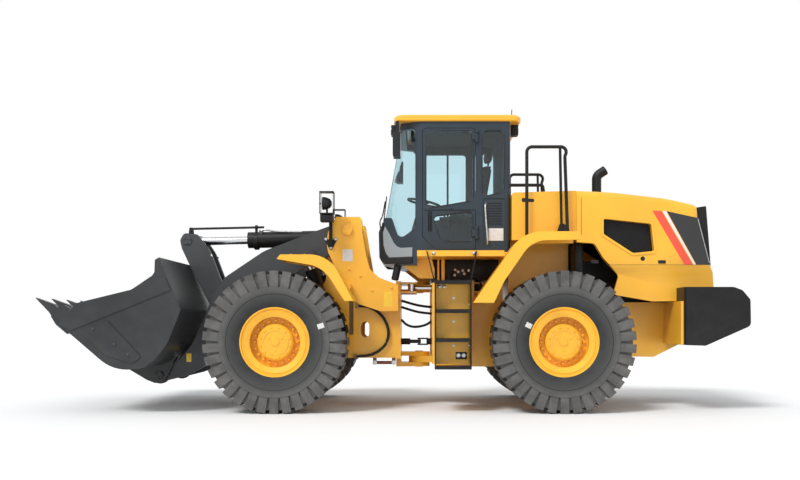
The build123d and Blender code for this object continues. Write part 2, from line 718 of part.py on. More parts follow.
with BuildPart() as door_glass:
    for pane in DOOR_GLASS:
        slab(pane, CAB_Y - CAB_WALL / 2, GLASS_T)
keep(door_glass.part, "door_glass")

with BuildPart() as windscreen:
    add(screen_out)
    add(screen_in, mode=Mode.SUBTRACT)
    slab(WINDSCREEN, 0, 3 * CAB_Y, mode=Mode.INTERSECT)

with BuildPart() as cab_glass:
    add(windscreen.part)
    slab(DOOR_GLASS[0], -(CAB_Y - CAB_WALL / 2), GLASS_T)
    for name, sign in SIDES:
        slab(REAR_SIDE_GLASS, sign * (CAB_Y - CAB_WALL / 2), GLASS_T)
    block((CAB_REAR_X + GLASS_IN, CAB_REAR_X + GLASS_IN + GLASS_T), *REAR_GLASS[1:])
keep(cab_glass.part, "cab_glass")

DECK_SHORT_X = -955.0  # where the deck widens beyond the hood
DECK_FRONT_X = 26.0
DECK_GUSSET = [
    (190, CAB_SILL_Z),
    (26, CAB_SILL_Z),
    (26, DECK_Z - DECK_T),
    (-150, DECK_Z - DECK_T),
    (-180, 1640, 30),
    (-180, 1530, 10),
    (0, 1530),
]
DECK_GUSSET_Y = 600.0
DECK_GUSSET_T = 16.0
with BuildPart() as platform:
    block((CAB_REAR_X, DECK_FRONT_X), (-HOOD_Y, HOOD_Y), (DECK_Z - DECK_T, DECK_Z))
    block((DECK_SHORT_X, DECK_FRONT_X), (-DECK_Y, DECK_Y), (DECK_Z - DECK_T, DECK_Z))
    for name, sign in SIDES:
        slab(DECK_GUSSET, sign * DECK_GUSSET_Y, DECK_GUSSET_T)
keep(platform.part, "platform")

SEAT_X = -560.0
SEAT_Z = 2210.0
CUSHION = [(-260, 0, 30), (-260, 110, 40), (200, 130, 50), (240, 80, 40), (220, 0, 30)]
BACKREST = [(-200, 100, 20), (-330, 740, 60), (-230, 760, 50), (-80, 130, 60)]
HEADREST = [(-325, 780, 20), (-345, 930, 30), (-260, 930, 30), (-240, 780, 20)]
SEAT_WIDTHS = (500.0, 480.0, 260.0, 120.0)
HEAD_POST = [(-318, 730), (-326, 800), (-270, 800), (-262, 730)]
with BuildPart() as seat:
    for profile, width in zip((CUSHION, BACKREST, HEADREST, HEAD_POST), SEAT_WIDTHS):
        slab([(SEAT_X + x, SEAT_Z + z, *r) for x, z, *r in profile], 0, width)
keep(seat.part, "seat")

PEDESTAL = [(-200, -330), (-180, 0), (160, 0), (200, -330)]
PEDESTAL_W = 400.0
with BuildPart() as seat_base:
    slab([(SEAT_X + x, SEAT_Z + z) for x, z in PEDESTAL], 0, PEDESTAL_W)
keep(seat_base.part, "seat_base")

WHEEL_HUB = (-60.0, 2500.0)
WHEEL_R = 200.0
WHEEL_BAR_R = 15.0
COLUMN_W = 120.0
COLUMN = [(110, 1745), (205, 1745), (-10, 2530), (-104, 2500)]
with BuildPart() as steering_column:
    slab(COLUMN, 0, COLUMN_W)
    hub = (PIVOT_X + WHEEL_HUB[0], 0, WHEEL_HUB[1])
    tilt = (WHEEL_HUB[0] - COLUMN[0][0], 0, WHEEL_HUB[1] - COLUMN[0][1])
    slant = Plane(origin=hub, x_dir=(0, 1, 0), z_dir=tilt)
    with BuildSketch(slant):
        Rectangle(2 * WHEEL_R, 2 * WHEEL_BAR_R)
        Circle(COLUMN_W / 2)
    extrude(amount=WHEEL_BAR_R)
    with BuildSketch(Plane(origin=slant.origin, x_dir=slant.x_dir, z_dir=-slant.y_dir)) as rim_bar:
        with Locations((WHEEL_R, 0)):
            Circle(WHEEL_BAR_R)
    revolve(rim_bar.sketch, axis=Axis(slant.origin, slant.z_dir))
keep(steering_column.part, "steering_column")

BOX = ((-580.0, -145.0), (704.0, 1150.0), (541.0, 1455.0))
BOX_EDGE = 30.0
BOX_GROOVE = (-357.0, -310.0)
BOX_DEEP = 8.0
BOX_ARM = ((-560.0, -500.0), (600.0, 1180.0))
LADDER_Y = (DECK_Y, DECK_Y + 200.0)
TREADS = [1471.0, 1148.0, 825.0, 522.0]
TREAD_X = (-572.0, -177.0)
HANGER_X = (-641.0, -84.0)
TREAD_T = 34.0
LADDER_T = 12.0
HANGER_W = 60.0
RAIL_R = 19.0

with BuildPart() as side_boxes:
    for name, sign in SIDES:
        with BuildSketch(level(BOX[2][0])) as base:
            with Locations(((BOX[0][0] + BOX[0][1]) / 2, sign * (BOX[1][0] + BOX[1][1]) / 2)):
                RectangleRounded(BOX[0][1] - BOX[0][0], BOX[1][1] - BOX[1][0], BOX_EDGE)
        extrude(base.sketch, amount=BOX[2][1] - BOX[2][0])
        block(BOX_GROOVE, reach(sign, BOX[1][1] - BOX_DEEP, 2 * BOX[1][1]), BOX[2], mode=Mode.SUBTRACT)
        block(BOX_ARM[0], reach(sign, RAIL_Y + RAIL_T / 2, BOX[1][0]), BOX_ARM[1])
keep(side_boxes.part, "side_boxes")

with BuildPart() as ladders:
    for name, sign in SIDES:
        span = reach(sign, *LADDER_Y)
        middle = sign * sum(LADDER_Y) / 2
        for z in TREADS:
            block(TREAD_X, span, (z - TREAD_T, z))
        for x, top in zip(TREAD_X, HANGER_X):
            strip((x, TREADS[-1] - TREAD_T), (x, TREADS[0]), middle, LADDER_Y[1] - LADDER_Y[0], LADDER_T)
            hanger = ((x, TREADS[0] - TREAD_T), (top, DECK_Z - LADDER_T))
            strip(*hanger, sign * (LADDER_Y[0] + HANGER_W / 2), HANGER_W, LADDER_T)
keep(ladders.part, "ladders")

RAILING = [(-1226, 1982), (-1226, 3012), (-1705, 3012), (-1660, 2905), (-1690, 2060)]
RAILING_POST = ((-1605, 3012), (-1622, 2060))
RAILING_FOOT = [(-1560, 2012), (-1710, 2012), (-1710, 2075, 10), (-1650, 2135, 20), (-1600, 2135, 20)]
RAILING_Y = HOOD_Y + 100.0
LOW_RAIL = [(CAB_REAR_X, 2613), (-1440, 2613), (-1456, 2508)]
LOW_RAIL_Y = CAB_Y - 60.0
RAIL_BEND = 60.0
POST_R = 16.0
with BuildPart() as handrails:
    for name, sign in SIDES:
        tube(RAILING, RAIL_BEND, sign * RAILING_Y, RAIL_R)
        bar(*RAILING_POST, sign * RAILING_Y, POST_R)
        slab(RAILING_FOOT, sign * RAILING_Y, RAIL_R)
        tube(LOW_RAIL, RAIL_BEND / 2, sign * LOW_RAIL_Y, RAIL_R)
    add(rear_fenders.part, mode=Mode.SUBTRACT)
    add(tank_cover.part, mode=Mode.SUBTRACT)
keep(handrails.part, "handrails")

# ---------------------------------------------------------------- front frame
PLATE_X = (222.0, 282.0)
PLATE_Z = (575.0, 1504.0)
BODY_T = 36.0
BODY_FOOT_Z = 585.0
PLATE_Y = TOWER_IN_Y + BODY_T / 2
SHAFT_HOLE_R = 90.0
TOWER = [
    (984, 2259),
    (691, 2259, 30),
    (675, 2070),
    (626, 1788),
    (588, 1642, 60),
    (477, 1541, 60),
    (250, 1452),
    (250, 1147),
    (453, 1140, 60),
    (760, 1240, 200),
    (985, 1640, 60),
    (1080, 1840, 60),
    (1100, 1960, 60),
    (1080, 2080, 60),
]
FRONT_BODY = [
    (250, 1461),
    (250, BODY_FOOT_Z),
    (1150, BODY_FOOT_Z, 100),
    (1300, 640, 60),
    (1350, AXLE_Z + AXLE_TOP),
    (1850, AXLE_Z + AXLE_TOP),
    (1880, 1080, 40),
    (1500, 1180, 200),
    (1120, 1500, 100),
    (1100, 1960, 60),
    (984, 2259),
    (691, 2259, 30),
    (588, 1642, 60),
    (477, 1541, 60),
]
BODY_HOLE = [(600, 1020, 49), (700, 1020, 49), (700, 830, 49), (600, 830, 49)]
TOWER_TUBES = [
    # x, z, radius, half width
    (760.0, 1560.0, 70.0, TOWER_OUT_Y),
    (745.0, 1950.0, 55.0, TOWER_OUT_Y),
]
FLOORS = [
    # x from, x to, z from, z to
    (240.0, 1500.0, 1060.0, 1100.0),
    (900.0, 1290.0, 640.0, 680.0),
]
TILT_SUPPORT = [(690, 1990), (690, 2140, 20), (1080, 2150, 90), (1165, 2060, 60), (1080, 1960, 60)]
TILT_SUPPORT_Y = 150.0
TILT_SUPPORT_T = 40.0
LIFT_EYE_T = 110.0
LIFT_FOOT_R = 80.0

with BuildPart() as front_frame:
    block(PLATE_X, (-PLATE_Y, PLATE_Y), PLATE_Z)
    for foot, height, ear in HINGES:
        for low in (foot, foot + height - ear):
            with BuildSketch(level(low)) as lug:
                Circle(HINGE_R)
                with Locations((PLATE_X[0] + BODY_T / 2, 0)):
                    Rectangle(BODY_T, 2 * HINGE_ROOT)
                make_hull()
                Circle(HINGE_PIN_R + PIN_GAP, mode=Mode.SUBTRACT)
            extrude(lug.sketch, amount=ear)
    block(PLATE_X, (-HINGE_ROOT, HINGE_ROOT), (HINGES[1][0], PLATE_Z[0]))
    bar((PLATE_X[0] - 1, SHAFT_Z), (PLATE_X[1] + 1, SHAFT_Z), 0, SHAFT_HOLE_R, mode=Mode.SUBTRACT)
    for name, sign in SIDES:
        slab(FRONT_BODY, sign * TOWER_IN_Y, BODY_T)
        slab(BODY_HOLE, sign * TOWER_IN_Y, 2 * BODY_T, mode=Mode.SUBTRACT)
        slab(TOWER, sign * TOWER_OUT_Y, TOWER_T)
        foot = LIFT_Y - LIFT_R - EYE_GAP - TOWER_IN_Y
        drum(LIFT_BASE, sign * (TOWER_IN_Y + foot / 2), LIFT_FOOT_R, foot)
        pin = LIFT_Y + LIFT_EYE_T / 2 + 2 * EYE_GAP - TOWER_IN_Y
        drum(LIFT_BASE, sign * (TOWER_IN_Y + pin / 2), BASE_PIN_R, pin)
        for low in (STEER_Z - STEER_EAR - STEER_EAR_T, STEER_Z + STEER_EAR):
            ear = reach(sign, STEER_PIN[1] - STEER_EYE_R, STEER_PIN[1] + STEER_EYE_R)
            block((STEER_PIN[0] - STEER_EYE_R, PLATE_X[0]), ear, (low, low + STEER_EAR_T))
        slab(TILT_SUPPORT, sign * TILT_SUPPORT_Y, TILT_SUPPORT_T)
    for start, end, low, high in FLOORS:
        block((start, end), (-TOWER_IN_Y, TOWER_IN_Y), (low, high))
    for x, z, radius, half in TOWER_TUBES:
        drum((x, z), 0, radius, 2 * half)
    drum(BOOM_PIN, 0, BOOM_PIN_R, 2 * (TOWER_OUT_Y + TOWER_T / 2) + BOOM_PIN_R / 2)
    drum(TILT_BASE, 0, BASE_PIN_R, 2 * TILT_SUPPORT_Y + TILT_SUPPORT_T)
keep(front_frame.part, "front_frame")

FENDER_Y = (805.0, 1380.0)
FRONT_FENDER = [
    (1569, 1713),
    (1533, 1757, 20),
    (1000, 1757, 350),
    (729, 1245),
    (824, 1245),
    (1064, 1619, 350),
    (1569, 1707),
]
FRONT_SKIN = [
    (1569, 1713),
    (1533, 1757, 20),
    (1000, 1757, 350),
    (729, 1245),
    (745, 1245),
    (1008, 1743, 336),
    (1527, 1743, 6),
    (1558, 1704),
]
FENDER_ARM = ((800.0, 880.0), (1400.0, 1460.0))
with BuildPart() as front_fenders:
    for name, sign in SIDES:
        slab(FRONT_SKIN, sign * sum(FENDER_Y) / 2, FENDER_Y[1] - FENDER_Y[0])
        slab(FRONT_FENDER, sign * (FENDER_Y[1] - FASCIA / 2), FASCIA)
        slab(FRONT_FENDER, sign * (FENDER_Y[0] + FASCIA / 2), FASCIA)
        arm = reach(sign, TOWER_OUT_Y + TOWER_T / 2, FENDER_Y[0] + FASCIA / 2)
        block(FENDER_ARM[0], arm, FENDER_ARM[1])
keep(front_fenders.part, "front_fenders")

MUDFLAP = ((764.0, 772.0), (870.0, 1245.0))
with BuildPart() as mudflaps:
    for name, sign in SIDES:
        block(MUDFLAP[0], reach(sign, *FENDER_Y), MUDFLAP[1])
keep(mudflaps.part, "mudflaps")

LAMP_FOOT = ((985.0, 1075.0), (1890.0, 1975.0))
LAMP_STEM = [(1030, 1880), (1080, 1880), (1080, 2170, 40), (1125, 2240), (995, 2240), (1030, 2170, 40)]
LAMP_STEM_T = 36.0
LAMP_OUT = 2.0
LAMP_SHELF = ((985.0, 1125.0), (2240.0, 2262.0))
LAMP_Y = (765.0, 935.0)
LAMP_BODY = [(985, 2262, 20), (985, 2520, 40), (1150, 2520, 20), (1150, 2262, 20)]
with BuildPart() as head_lamps:
    inner = TOWER_OUT_Y + TOWER_T / 2
    for name, sign in SIDES:
        block(LAMP_FOOT[0], reach(sign, inner, inner + LAMP_STEM_T), LAMP_FOOT[1])
        slab(LAMP_STEM, sign * (inner + LAMP_OUT + LAMP_STEM_T / 2), LAMP_STEM_T)
        block(LAMP_SHELF[0], reach(sign, inner + LAMP_OUT, sum(LAMP_Y) / 2), LAMP_SHELF[1])
        slab(LAMP_BODY, sign * sum(LAMP_Y) / 2, LAMP_Y[1] - LAMP_Y[0])
keep(head_lamps.part, "head_lamps")

YOKE_X = 110.0  # from the pivot to each yoke's foot
YOKE_FOOT = 20.0
YOKE_W = 46.0
YOKE_IN = 27.0
CROSS_EYE_R = 22.0
CROSS_R = 11.0
SHAFT_END = FRONT_AXLE_X - PINION_L
with BuildPart() as drive_shaft_rear:
    bar((-SHAFT_END, SHAFT_Z), (-YOKE_X, SHAFT_Z), 0, SHAFT_R)
    bar((-SHAFT_END, SHAFT_Z), (-SHAFT_END + YOKE_FOOT, SHAFT_Z), 0, PINION_R)
    block((-YOKE_X, YOKE_FOOT - YOKE_X), (-YOKE_W, YOKE_W), (SHAFT_Z - YOKE_W, SHAFT_Z + YOKE_W))
    for sign in (1, -1):
        arm = tuple(sorted((SHAFT_Z + sign * YOKE_IN, SHAFT_Z + sign * YOKE_W)))
        block((YOKE_FOOT - YOKE_X, CROSS_EYE_R), (-CROSS_EYE_R, CROSS_EYE_R), arm)
        post((0, 0), arm[0], CROSS_R + PIN_GAP, YOKE_W - YOKE_IN, mode=Mode.SUBTRACT)
keep(drive_shaft_rear.part, "drive_shaft_rear")

with BuildPart() as drive_shaft_front:
    bar((SHAFT_END, SHAFT_Z), (YOKE_X, SHAFT_Z), 0, SHAFT_R)
    bar((SHAFT_END, SHAFT_Z), (SHAFT_END - YOKE_FOOT, SHAFT_Z), 0, PINION_R)
    block((YOKE_X - YOKE_FOOT, YOKE_X), (-YOKE_W, YOKE_W), (SHAFT_Z - CROSS_EYE_R, SHAFT_Z + CROSS_EYE_R))
    for sign in (1, -1):
        arm = reach(sign, YOKE_IN, YOKE_W)
        block((-CROSS_EYE_R, YOKE_X - YOKE_FOOT), arm, (SHAFT_Z - CROSS_EYE_R, SHAFT_Z + CROSS_EYE_R))
    block((-CROSS_EYE_R, CROSS_EYE_R), (-YOKE_IN, YOKE_IN), (SHAFT_Z - CROSS_EYE_R, SHAFT_Z + CROSS_EYE_R))
    post((0, 0), SHAFT_Z - YOKE_W, CROSS_R, 2 * YOKE_W)
keep(drive_shaft_front.part, "drive_shaft_front")

# ---------------------------------------------------------------- boom and Z-bar linkage
BOOM = [
    (850, 2215),
    (1114, 2140, 300),
    (1846, 1860, 500),
    (2328, 1536, 300),
    (2457, 1318, 400),
    (2610, 950, 400),
    (2710, 740, 300),
    (2860, 560, 150),
    (3060, 488),
    (3110, 290),
    (2781, 373, 400),
    (2543, 490, 300),
    (2050, 1040),
    (1493, 1590, 300),
    (1288, 1708, 300),
    (1065, 1814, 300),
    (800, 1995),
]
BOOM_HEEL_R = 115.0
BOOM_TOE_R = 104.0
LIFT_BOSS_R = 95.0
CROSS_TUBE = (2050.0, 1290.0)
CROSS_TUBE_R = 110.0
ROCKER_EARS = [
    (2030, 1180),
    (2030, 1400, 60),
    (2250, 1350, 100),
    (2500, 1310, 100),
    (2500, 1100, 100),
    (2300, 1080),
]
ROCKER_EAR_Y = 235.0
ROCKER_EAR_T = 40.0
ROCKER_Y = 150.0
ROCKER_T = 50.0
ROCKER_BOSS_R = 120.0
LINK_T = 110.0
LINK_EYE_R = 85.0
LINK_BAR_T = 76.0
LINK_H = 60.0  # half the height of its bar

with BuildPart() as boom:
    for name, sign in SIDES:
        slab(BOOM, sign * BOOM_Y, BOOM_T)
        drum(BOOM_PIN, sign * BOOM_Y, BOOM_HEEL_R, BOOM_T)
        drum(BUCKET_PIN, sign * BOOM_Y, BOOM_TOE_R, BOOM_T)
        boss = LIFT_Y - LIFT_EYE_T / 2 - EYE_GAP - BOOM_Y
        drum(LIFT_PIN, sign * (BOOM_Y + boss / 2), LIFT_BOSS_R, boss)
        slab(ROCKER_EARS, sign * ROCKER_EAR_Y, ROCKER_EAR_T)
    drum(CROSS_TUBE, 0, CROSS_TUBE_R, 2 * BOOM_Y)
    drum(ROCKER_PIN, 0, ROCKER_PIN_R, 2 * ROCKER_EAR_Y)
    drum(BOOM_PIN, 0, BOOM_PIN_R + PIN_GAP, 3 * BOOM_Y, mode=Mode.SUBTRACT)
    drum(BUCKET_PIN, 0, BUCKET_PIN_R + PIN_GAP, 3 * BOOM_Y, mode=Mode.SUBTRACT)
keep(boom.part, "boom")

ROCKER = [
    (2940, 2020, 60),
    (2890, 2110, 60),
    (2728, 2092, 40),
    (2643, 1993, 100),
    (2565, 1875, 300),
    (2440, 1545, 200),
    (2280, 1260, 100),
    (2255, 1130, 100),
    (2012, 540),
    (2080, 421),
    (2170, 470),
    (2520, 1080, 150),
    (2570, 1220, 200),
    (2815, 1700, 300),
    (2917, 1919, 100),
]
with BuildPart() as rocker:
    for name, sign in SIDES:
        slab(ROCKER, sign * ROCKER_Y, ROCKER_T)
        drum(LINK_PIN, sign * ROCKER_Y, LINK_EYE_R, ROCKER_T)
    drum(ROCKER_PIN, 0, ROCKER_BOSS_R, 2 * (ROCKER_EAR_Y - ROCKER_EAR_T))
    drum(ROCKER_PIN, 0, ROCKER_PIN_R + PIN_GAP, 3 * ROCKER_Y, mode=Mode.SUBTRACT)
keep(rocker.part, "rocker")

with BuildPart() as link:
    drum(EAR_PIN, 0, LINK_EYE_R, LINK_T)
    drum(LINK_PIN, 0, LINK_EYE_R - EYE_GAP, LINK_T)
    drum(LINK_PIN, 0, LINK_PIN_R, 2 * (ROCKER_Y - ROCKER_T / 2 - EYE_GAP))
    strip(LINK_PIN, EAR_PIN, 0, LINK_BAR_T, 2 * LINK_H)
    drum(EAR_PIN, 0, BUCKET_PIN_R + PIN_GAP, 2 * LINK_T, mode=Mode.SUBTRACT)
keep(link.part, "bucket_link")

BUCKET = [
    (3938, 989),
    (3141, 302, 450),
    (2761, 759, 600),
    (2607, 1147, 60),
    (2845, 1720),
    (2891, 1692, 10),
    (2895, 1557, 40),
    (2921, 1520, 40),
    (3150, 1365, 40),
    (3743, 1220),
]
BUCKET_HOLLOW = [
    (4032, 1110),
    (3145, 345, 420),
    (2787, 775, 570),
    (2639, 1147, 30),
    (2894, 1760),
    (3500, 1900),
    (4100, 1300),
]
CORNER_BOSS = (3888.0, 1104.0)
CORNER_BOSS_R = 90.0
SIDE_BAND = [
    (3938, 989),
    (3811, 920),
    (2713, 1365),
    (2780, 1500, 30),
    (2900, 1510, 60),
    (3150, 1365, 40),
    (3743, 1220),
]
SHIELD = [
    (3717, 907, 20),
    (3409, 1030, 30),
    (3043, 637, 20),
    (3078, 600, 20),
    (3141, 560, 30),
    (3423, 650, 30),
]
BAND_T = 14.0
ADAPTER = [(3868, 882), (3990, 985, 15), (4044, 1075), (3975, 1165, 15), (3900, 1100, 10), (3792, 903)]
ADAPTER_W = 120.0
TOOTH = [(3985, 1000), (4077, 1127, 10), (4223, 1281), (4013, 1207, 10), (3940, 1120)]
TOOTH_W = 84.0
EAR_LOWER = [
    (2870, 640),
    (2960, 420, 60),
    (3030, 300, 60),
    (3130, 290, 60),
    (3230, 330),
    (3480, 480),
    (3480, 580),
    (3040, 530),
]
EAR_UPPER = [
    (2700, 620, 60),
    (2690, 520, 60),
    (2750, 480, 60),
    (2830, 500, 60),
    (2960, 560),
    (2780, 770),
    (2740, 830),
]
EAR_Y = 95.0
BUCKET_EAR_OFF = 64.0
BUCKET_EAR_T = 36.0
PIN_OUT = 10.0

with BuildPart() as bucket:
    slab(BUCKET, 0, BUCKET_W - 2 * BAND_T)
    drum(CORNER_BOSS, 0, CORNER_BOSS_R, BUCKET_W)
    slab(SIDE_BAND, 0, BUCKET_W)
    slab(SHIELD, 0, BUCKET_W)
    for name, sign in SIDES:
        for off in (-BUCKET_EAR_OFF, BUCKET_EAR_OFF):
            slab(EAR_LOWER, sign * BOOM_Y + off, BUCKET_EAR_T)
        drum(BUCKET_PIN, sign * BOOM_Y, BUCKET_PIN_R, 2 * BUCKET_EAR_OFF + BUCKET_EAR_T + 2 * PIN_OUT)
        slab(EAR_UPPER, sign * EAR_Y, BUCKET_EAR_T)
    drum(EAR_PIN, 0, BUCKET_PIN_R, 2 * EAR_Y + BUCKET_EAR_T + 2 * PIN_OUT)
    slab(BUCKET_HOLLOW, 0, BUCKET_W - 2 * BUCKET_T - 2 * BAND_T, mode=Mode.SUBTRACT)
    for n in range(TOOTH_COUNT):
        y = (n / (TOOTH_COUNT - 1) - 0.5) * (BUCKET_W - 2 * ADAPTER_W)
        slab(ADAPTER, y, ADAPTER_W)
        slab(TOOTH, y, TOOTH_W)
keep(bucket.part, "bucket")

# ---------------------------------------------------------------- cylinders
BORE_GAP = 0.3
BORE_END = 12.0  # wall left between the base eye and the bore
BASE_EYE_T = 1.24  # its width for each unit of the barrel's radius
CYLINDERS = [
    # name, base, pin, y, barrel length, barrel radius, rod radius, eye radius, eye width, overlap
    ("tilt", TILT_BASE, ROD_PIN, 0.0, 1049.0, 100.0, 50.0, 88.0, 140.0, 90.0),
    ("lift_left", LIFT_BASE, LIFT_PIN, LIFT_Y, 905.0, LIFT_R, 45.0, 88.0, LIFT_EYE_T, 753.0),
    ("lift_right", LIFT_BASE, LIFT_PIN, -LIFT_Y, 905.0, LIFT_R, 45.0, 88.0, LIFT_EYE_T, 753.0),
]
GAUGE_R = 14.0
GAUGE_GAP = 5.0
GAUGE_UP = 158.0  # above the rod's axis
GAUGE_L = 914.0
GAUGE_EYE_T = 30.0
COLLAR_DOWN = 50.0  # from the gauge to the middle of the collar's foot
GAUGE_POST = [(2805, 2080), (2818, 2192, 12), (2864, 2192, 12), (2876, 2080)]
gauge_head = (ROD_PIN[0], ROD_PIN[1] + GAUGE_UP)
gauge_tail = towards(gauge_head, (TILT_BASE[0], TILT_BASE[1] + GAUGE_UP), GAUGE_L)
gauge_eye = towards(gauge_head, gauge_tail, GAUGE_L - 110)

for name, base, pin, y, length, radius, rod_radius, eye, width, overlap in CYLINDERS:
    with BuildPart() as tube_part:
        bar(towards(base, pin, eye - BORE_END), towards(base, pin, length), y, radius)
        drum(base, y, eye, BASE_EYE_T * radius)
        if name == "tilt":
            collar = towards(gauge_eye, gauge_tail, GAUGE_EYE_T)
            bar(gauge_eye, collar, y, GAUGE_R + 3 * GAUGE_GAP)
            foot = [(x, z - COLLAR_DOWN) for x, z in (gauge_eye, collar)]
            strip(*foot, y, GAUGE_EYE_T, 2 * GAUGE_EYE_T)
            bar(gauge_head, gauge_tail, y, GAUGE_R + GAUGE_GAP, mode=Mode.SUBTRACT)
        bore = towards(base, pin, eye + BORE_END)
        bar(bore, towards(base, pin, 2 * length), y, rod_radius + BORE_GAP, mode=Mode.SUBTRACT)
        drum(base, y, BASE_PIN_R + PIN_GAP, 4 * radius, mode=Mode.SUBTRACT)
    with BuildPart() as piston:
        bar(towards(base, pin, length - overlap), pin, y, rod_radius)
        drum(pin, y, eye, width)
    keep(tube_part.part, f"{name}_barrel")
    keep(piston.part, f"{name}_rod")
    tilt_rod = piston if name == "tilt" else tilt_rod

with BuildPart() as tilt_gauge:
    bar(gauge_head, gauge_tail, 0, GAUGE_R)
    slab(GAUGE_POST, 0, 2 * GAUGE_R)
    add(tilt_rod.part, mode=Mode.SUBTRACT)
keep(tilt_gauge.part, "tilt_gauge")

STEER_BARREL_L = 574.0
STEER_OVERLAP = 333.0
STEER_R = 36.0
STEER_ROD_R = 22.0
STEER_BOSS_R = 48.0
for name, sign in SIDES:
    base = (PIVOT_X + STEER_BASE[0], sign * STEER_BASE[1], STEER_Z)
    run = (STEER_PIN[0] - STEER_BASE[0], sign * (STEER_PIN[1] - STEER_BASE[1]), 0)
    length = hypot(run[0], run[1])
    line = Plane(origin=base, x_dir=(0, 0, 1), z_dir=run)
    eye = (STEER_Z - STEER_EAR + EYE_GAP, 2 * (STEER_EAR - EYE_GAP))
    with BuildPart() as tube_part:
        with BuildSketch(line.offset(STEER_R)) as face:
            Circle(STEER_R)
        extrude(face.sketch, amount=STEER_BARREL_L - STEER_R)
        post((STEER_BASE[0], sign * STEER_BASE[1]), eye[0], STEER_BOSS_R, eye[1])
        with BuildSketch(line.offset(STEER_BOSS_R + BORE_END)) as face:
            Circle(STEER_ROD_R + BORE_GAP)
        extrude(face.sketch, amount=STEER_BARREL_L, mode=Mode.SUBTRACT)
        post((STEER_BASE[0], sign * STEER_BASE[1]), 0, STEER_PIN_R + PIN_GAP, 2 * STEER_Z, mode=Mode.SUBTRACT)
    with BuildPart() as piston:
        with BuildSketch(line.offset(STEER_BARREL_L - STEER_OVERLAP)) as face:
            Circle(STEER_ROD_R)
        extrude(face.sketch, amount=length - STEER_BARREL_L + STEER_OVERLAP)
        post((STEER_PIN[0], sign * STEER_PIN[1]), eye[0], STEER_BOSS_R, eye[1])
    keep(tube_part.part, f"steer_{name}_barrel")
    keep(piston.part, f"steer_{name}_rod")

# ---------------------------------------------------------------- lamps, mirrors, lock bar, hoses
LAMP_X = (292.0, -1130.0)
LAMP_HALF = 38.0
LAMP_ACROSS = (480.0, 600.0)
LAMP_Z = (3225.0, CAB_TOP_Z)
with BuildPart() as work_lamps:
    for x in LAMP_X:
        for name, sign in SIDES:
            block((x - LAMP_HALF, x + LAMP_HALF), reach(sign, *LAMP_ACROSS), LAMP_Z)
keep(work_lamps.part, "work_lamps")

MIRROR = ((215.0, 295.0), (900.0, 1080.0), (2890.0, 3170.0))
MIRROR_ARM = ((235.0, 275.0), (780.0, 820.0), (3170.0, 3200.0))
with BuildPart() as mirrors:
    for name, sign in SIDES:
        block(MIRROR[0], reach(sign, *MIRROR[1]), MIRROR[2])
        block(MIRROR_ARM[0], reach(sign, MIRROR_ARM[1][0], MIRROR[1][1]), MIRROR_ARM[2])
        block(MIRROR_ARM[0], reach(sign, *MIRROR_ARM[1]), (MIRROR_ARM[2][0], CAB_TOP_Z))
keep(mirrors.part, "mirrors")

LOCK_BAR = ((534.0, 528.0), (306.0, 528.0))
LOCK_R = 20.0
LOCK_EYE = 22.0
with BuildPart() as lock_bar:
    bar(*LOCK_BAR, TOWER_IN_Y, LOCK_R)
    for x, z in LOCK_BAR:
        eye = (TOWER_IN_Y - LOCK_EYE, TOWER_IN_Y + LOCK_EYE)
        block((x - LOCK_EYE, x + LOCK_EYE), eye, (z - LOCK_EYE, BODY_FOOT_Z))
keep(lock_bar.part, "lock_bar")

HOSE_R = 15.0
HOSES = [
    # y, route
    (-150.0, [(NOSE_X, 1197), (PLATE_X[0], 1283)]),
    (-90.0, [(NOSE_X, 1197), (PLATE_X[0], 1283)]),
    (90.0, [(NOSE_X, 1115), (PLATE_X[0], 1200)]),
    (150.0, [(NOSE_X, 1060), (46, 967), (PLATE_X[0], 1045)]),
]
HOSE_BEND = 120.0
with BuildPart() as hoses:
    for y, route in HOSES:
        if len(route) > 2:
            tube(route, HOSE_BEND, y, HOSE_R)
        else:
            bar(*route, y, HOSE_R)
    add(front_frame.part, mode=Mode.SUBTRACT)
    add(rear_frame.part, mode=Mode.SUBTRACT)
keep(hoses.part, "hoses")

LIFT_HOSE = [(735, 1210), (587, 1188), (432, 1073), (356, 912), (393, 752), (557, 623), (760, 599)]
LIFT_HOSE_R = 17.0
LIFT_HOSE_Y = 490.0
LIFT_HOSE_BEND = 90.0
FITTING_R = 28.0
with BuildPart() as frame_hoses:
    for name, sign in SIDES:
        tube(LIFT_HOSE, LIFT_HOSE_BEND, sign * LIFT_HOSE_Y, LIFT_HOSE_R)
        fitting = LIFT_HOSE_Y + FITTING_R - PLATE_Y
        for end in (LIFT_HOSE[0], LIFT_HOSE[-1]):
            drum(end, sign * (PLATE_Y + fitting / 2), FITTING_R, fitting)
keep(frame_hoses.part, "frame_hoses")
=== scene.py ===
# %% [markdown]
# # A wheel loader, from bare solids to a finished machine
# The solids of the machine, already in place and hung on their joints, come from the frame.
# What is left is what the eye sees: paint, rubber, glass, tread, bolts, hoses and trim.
# Each cell below adds one piece or one finish, and says why it is made the way it is.

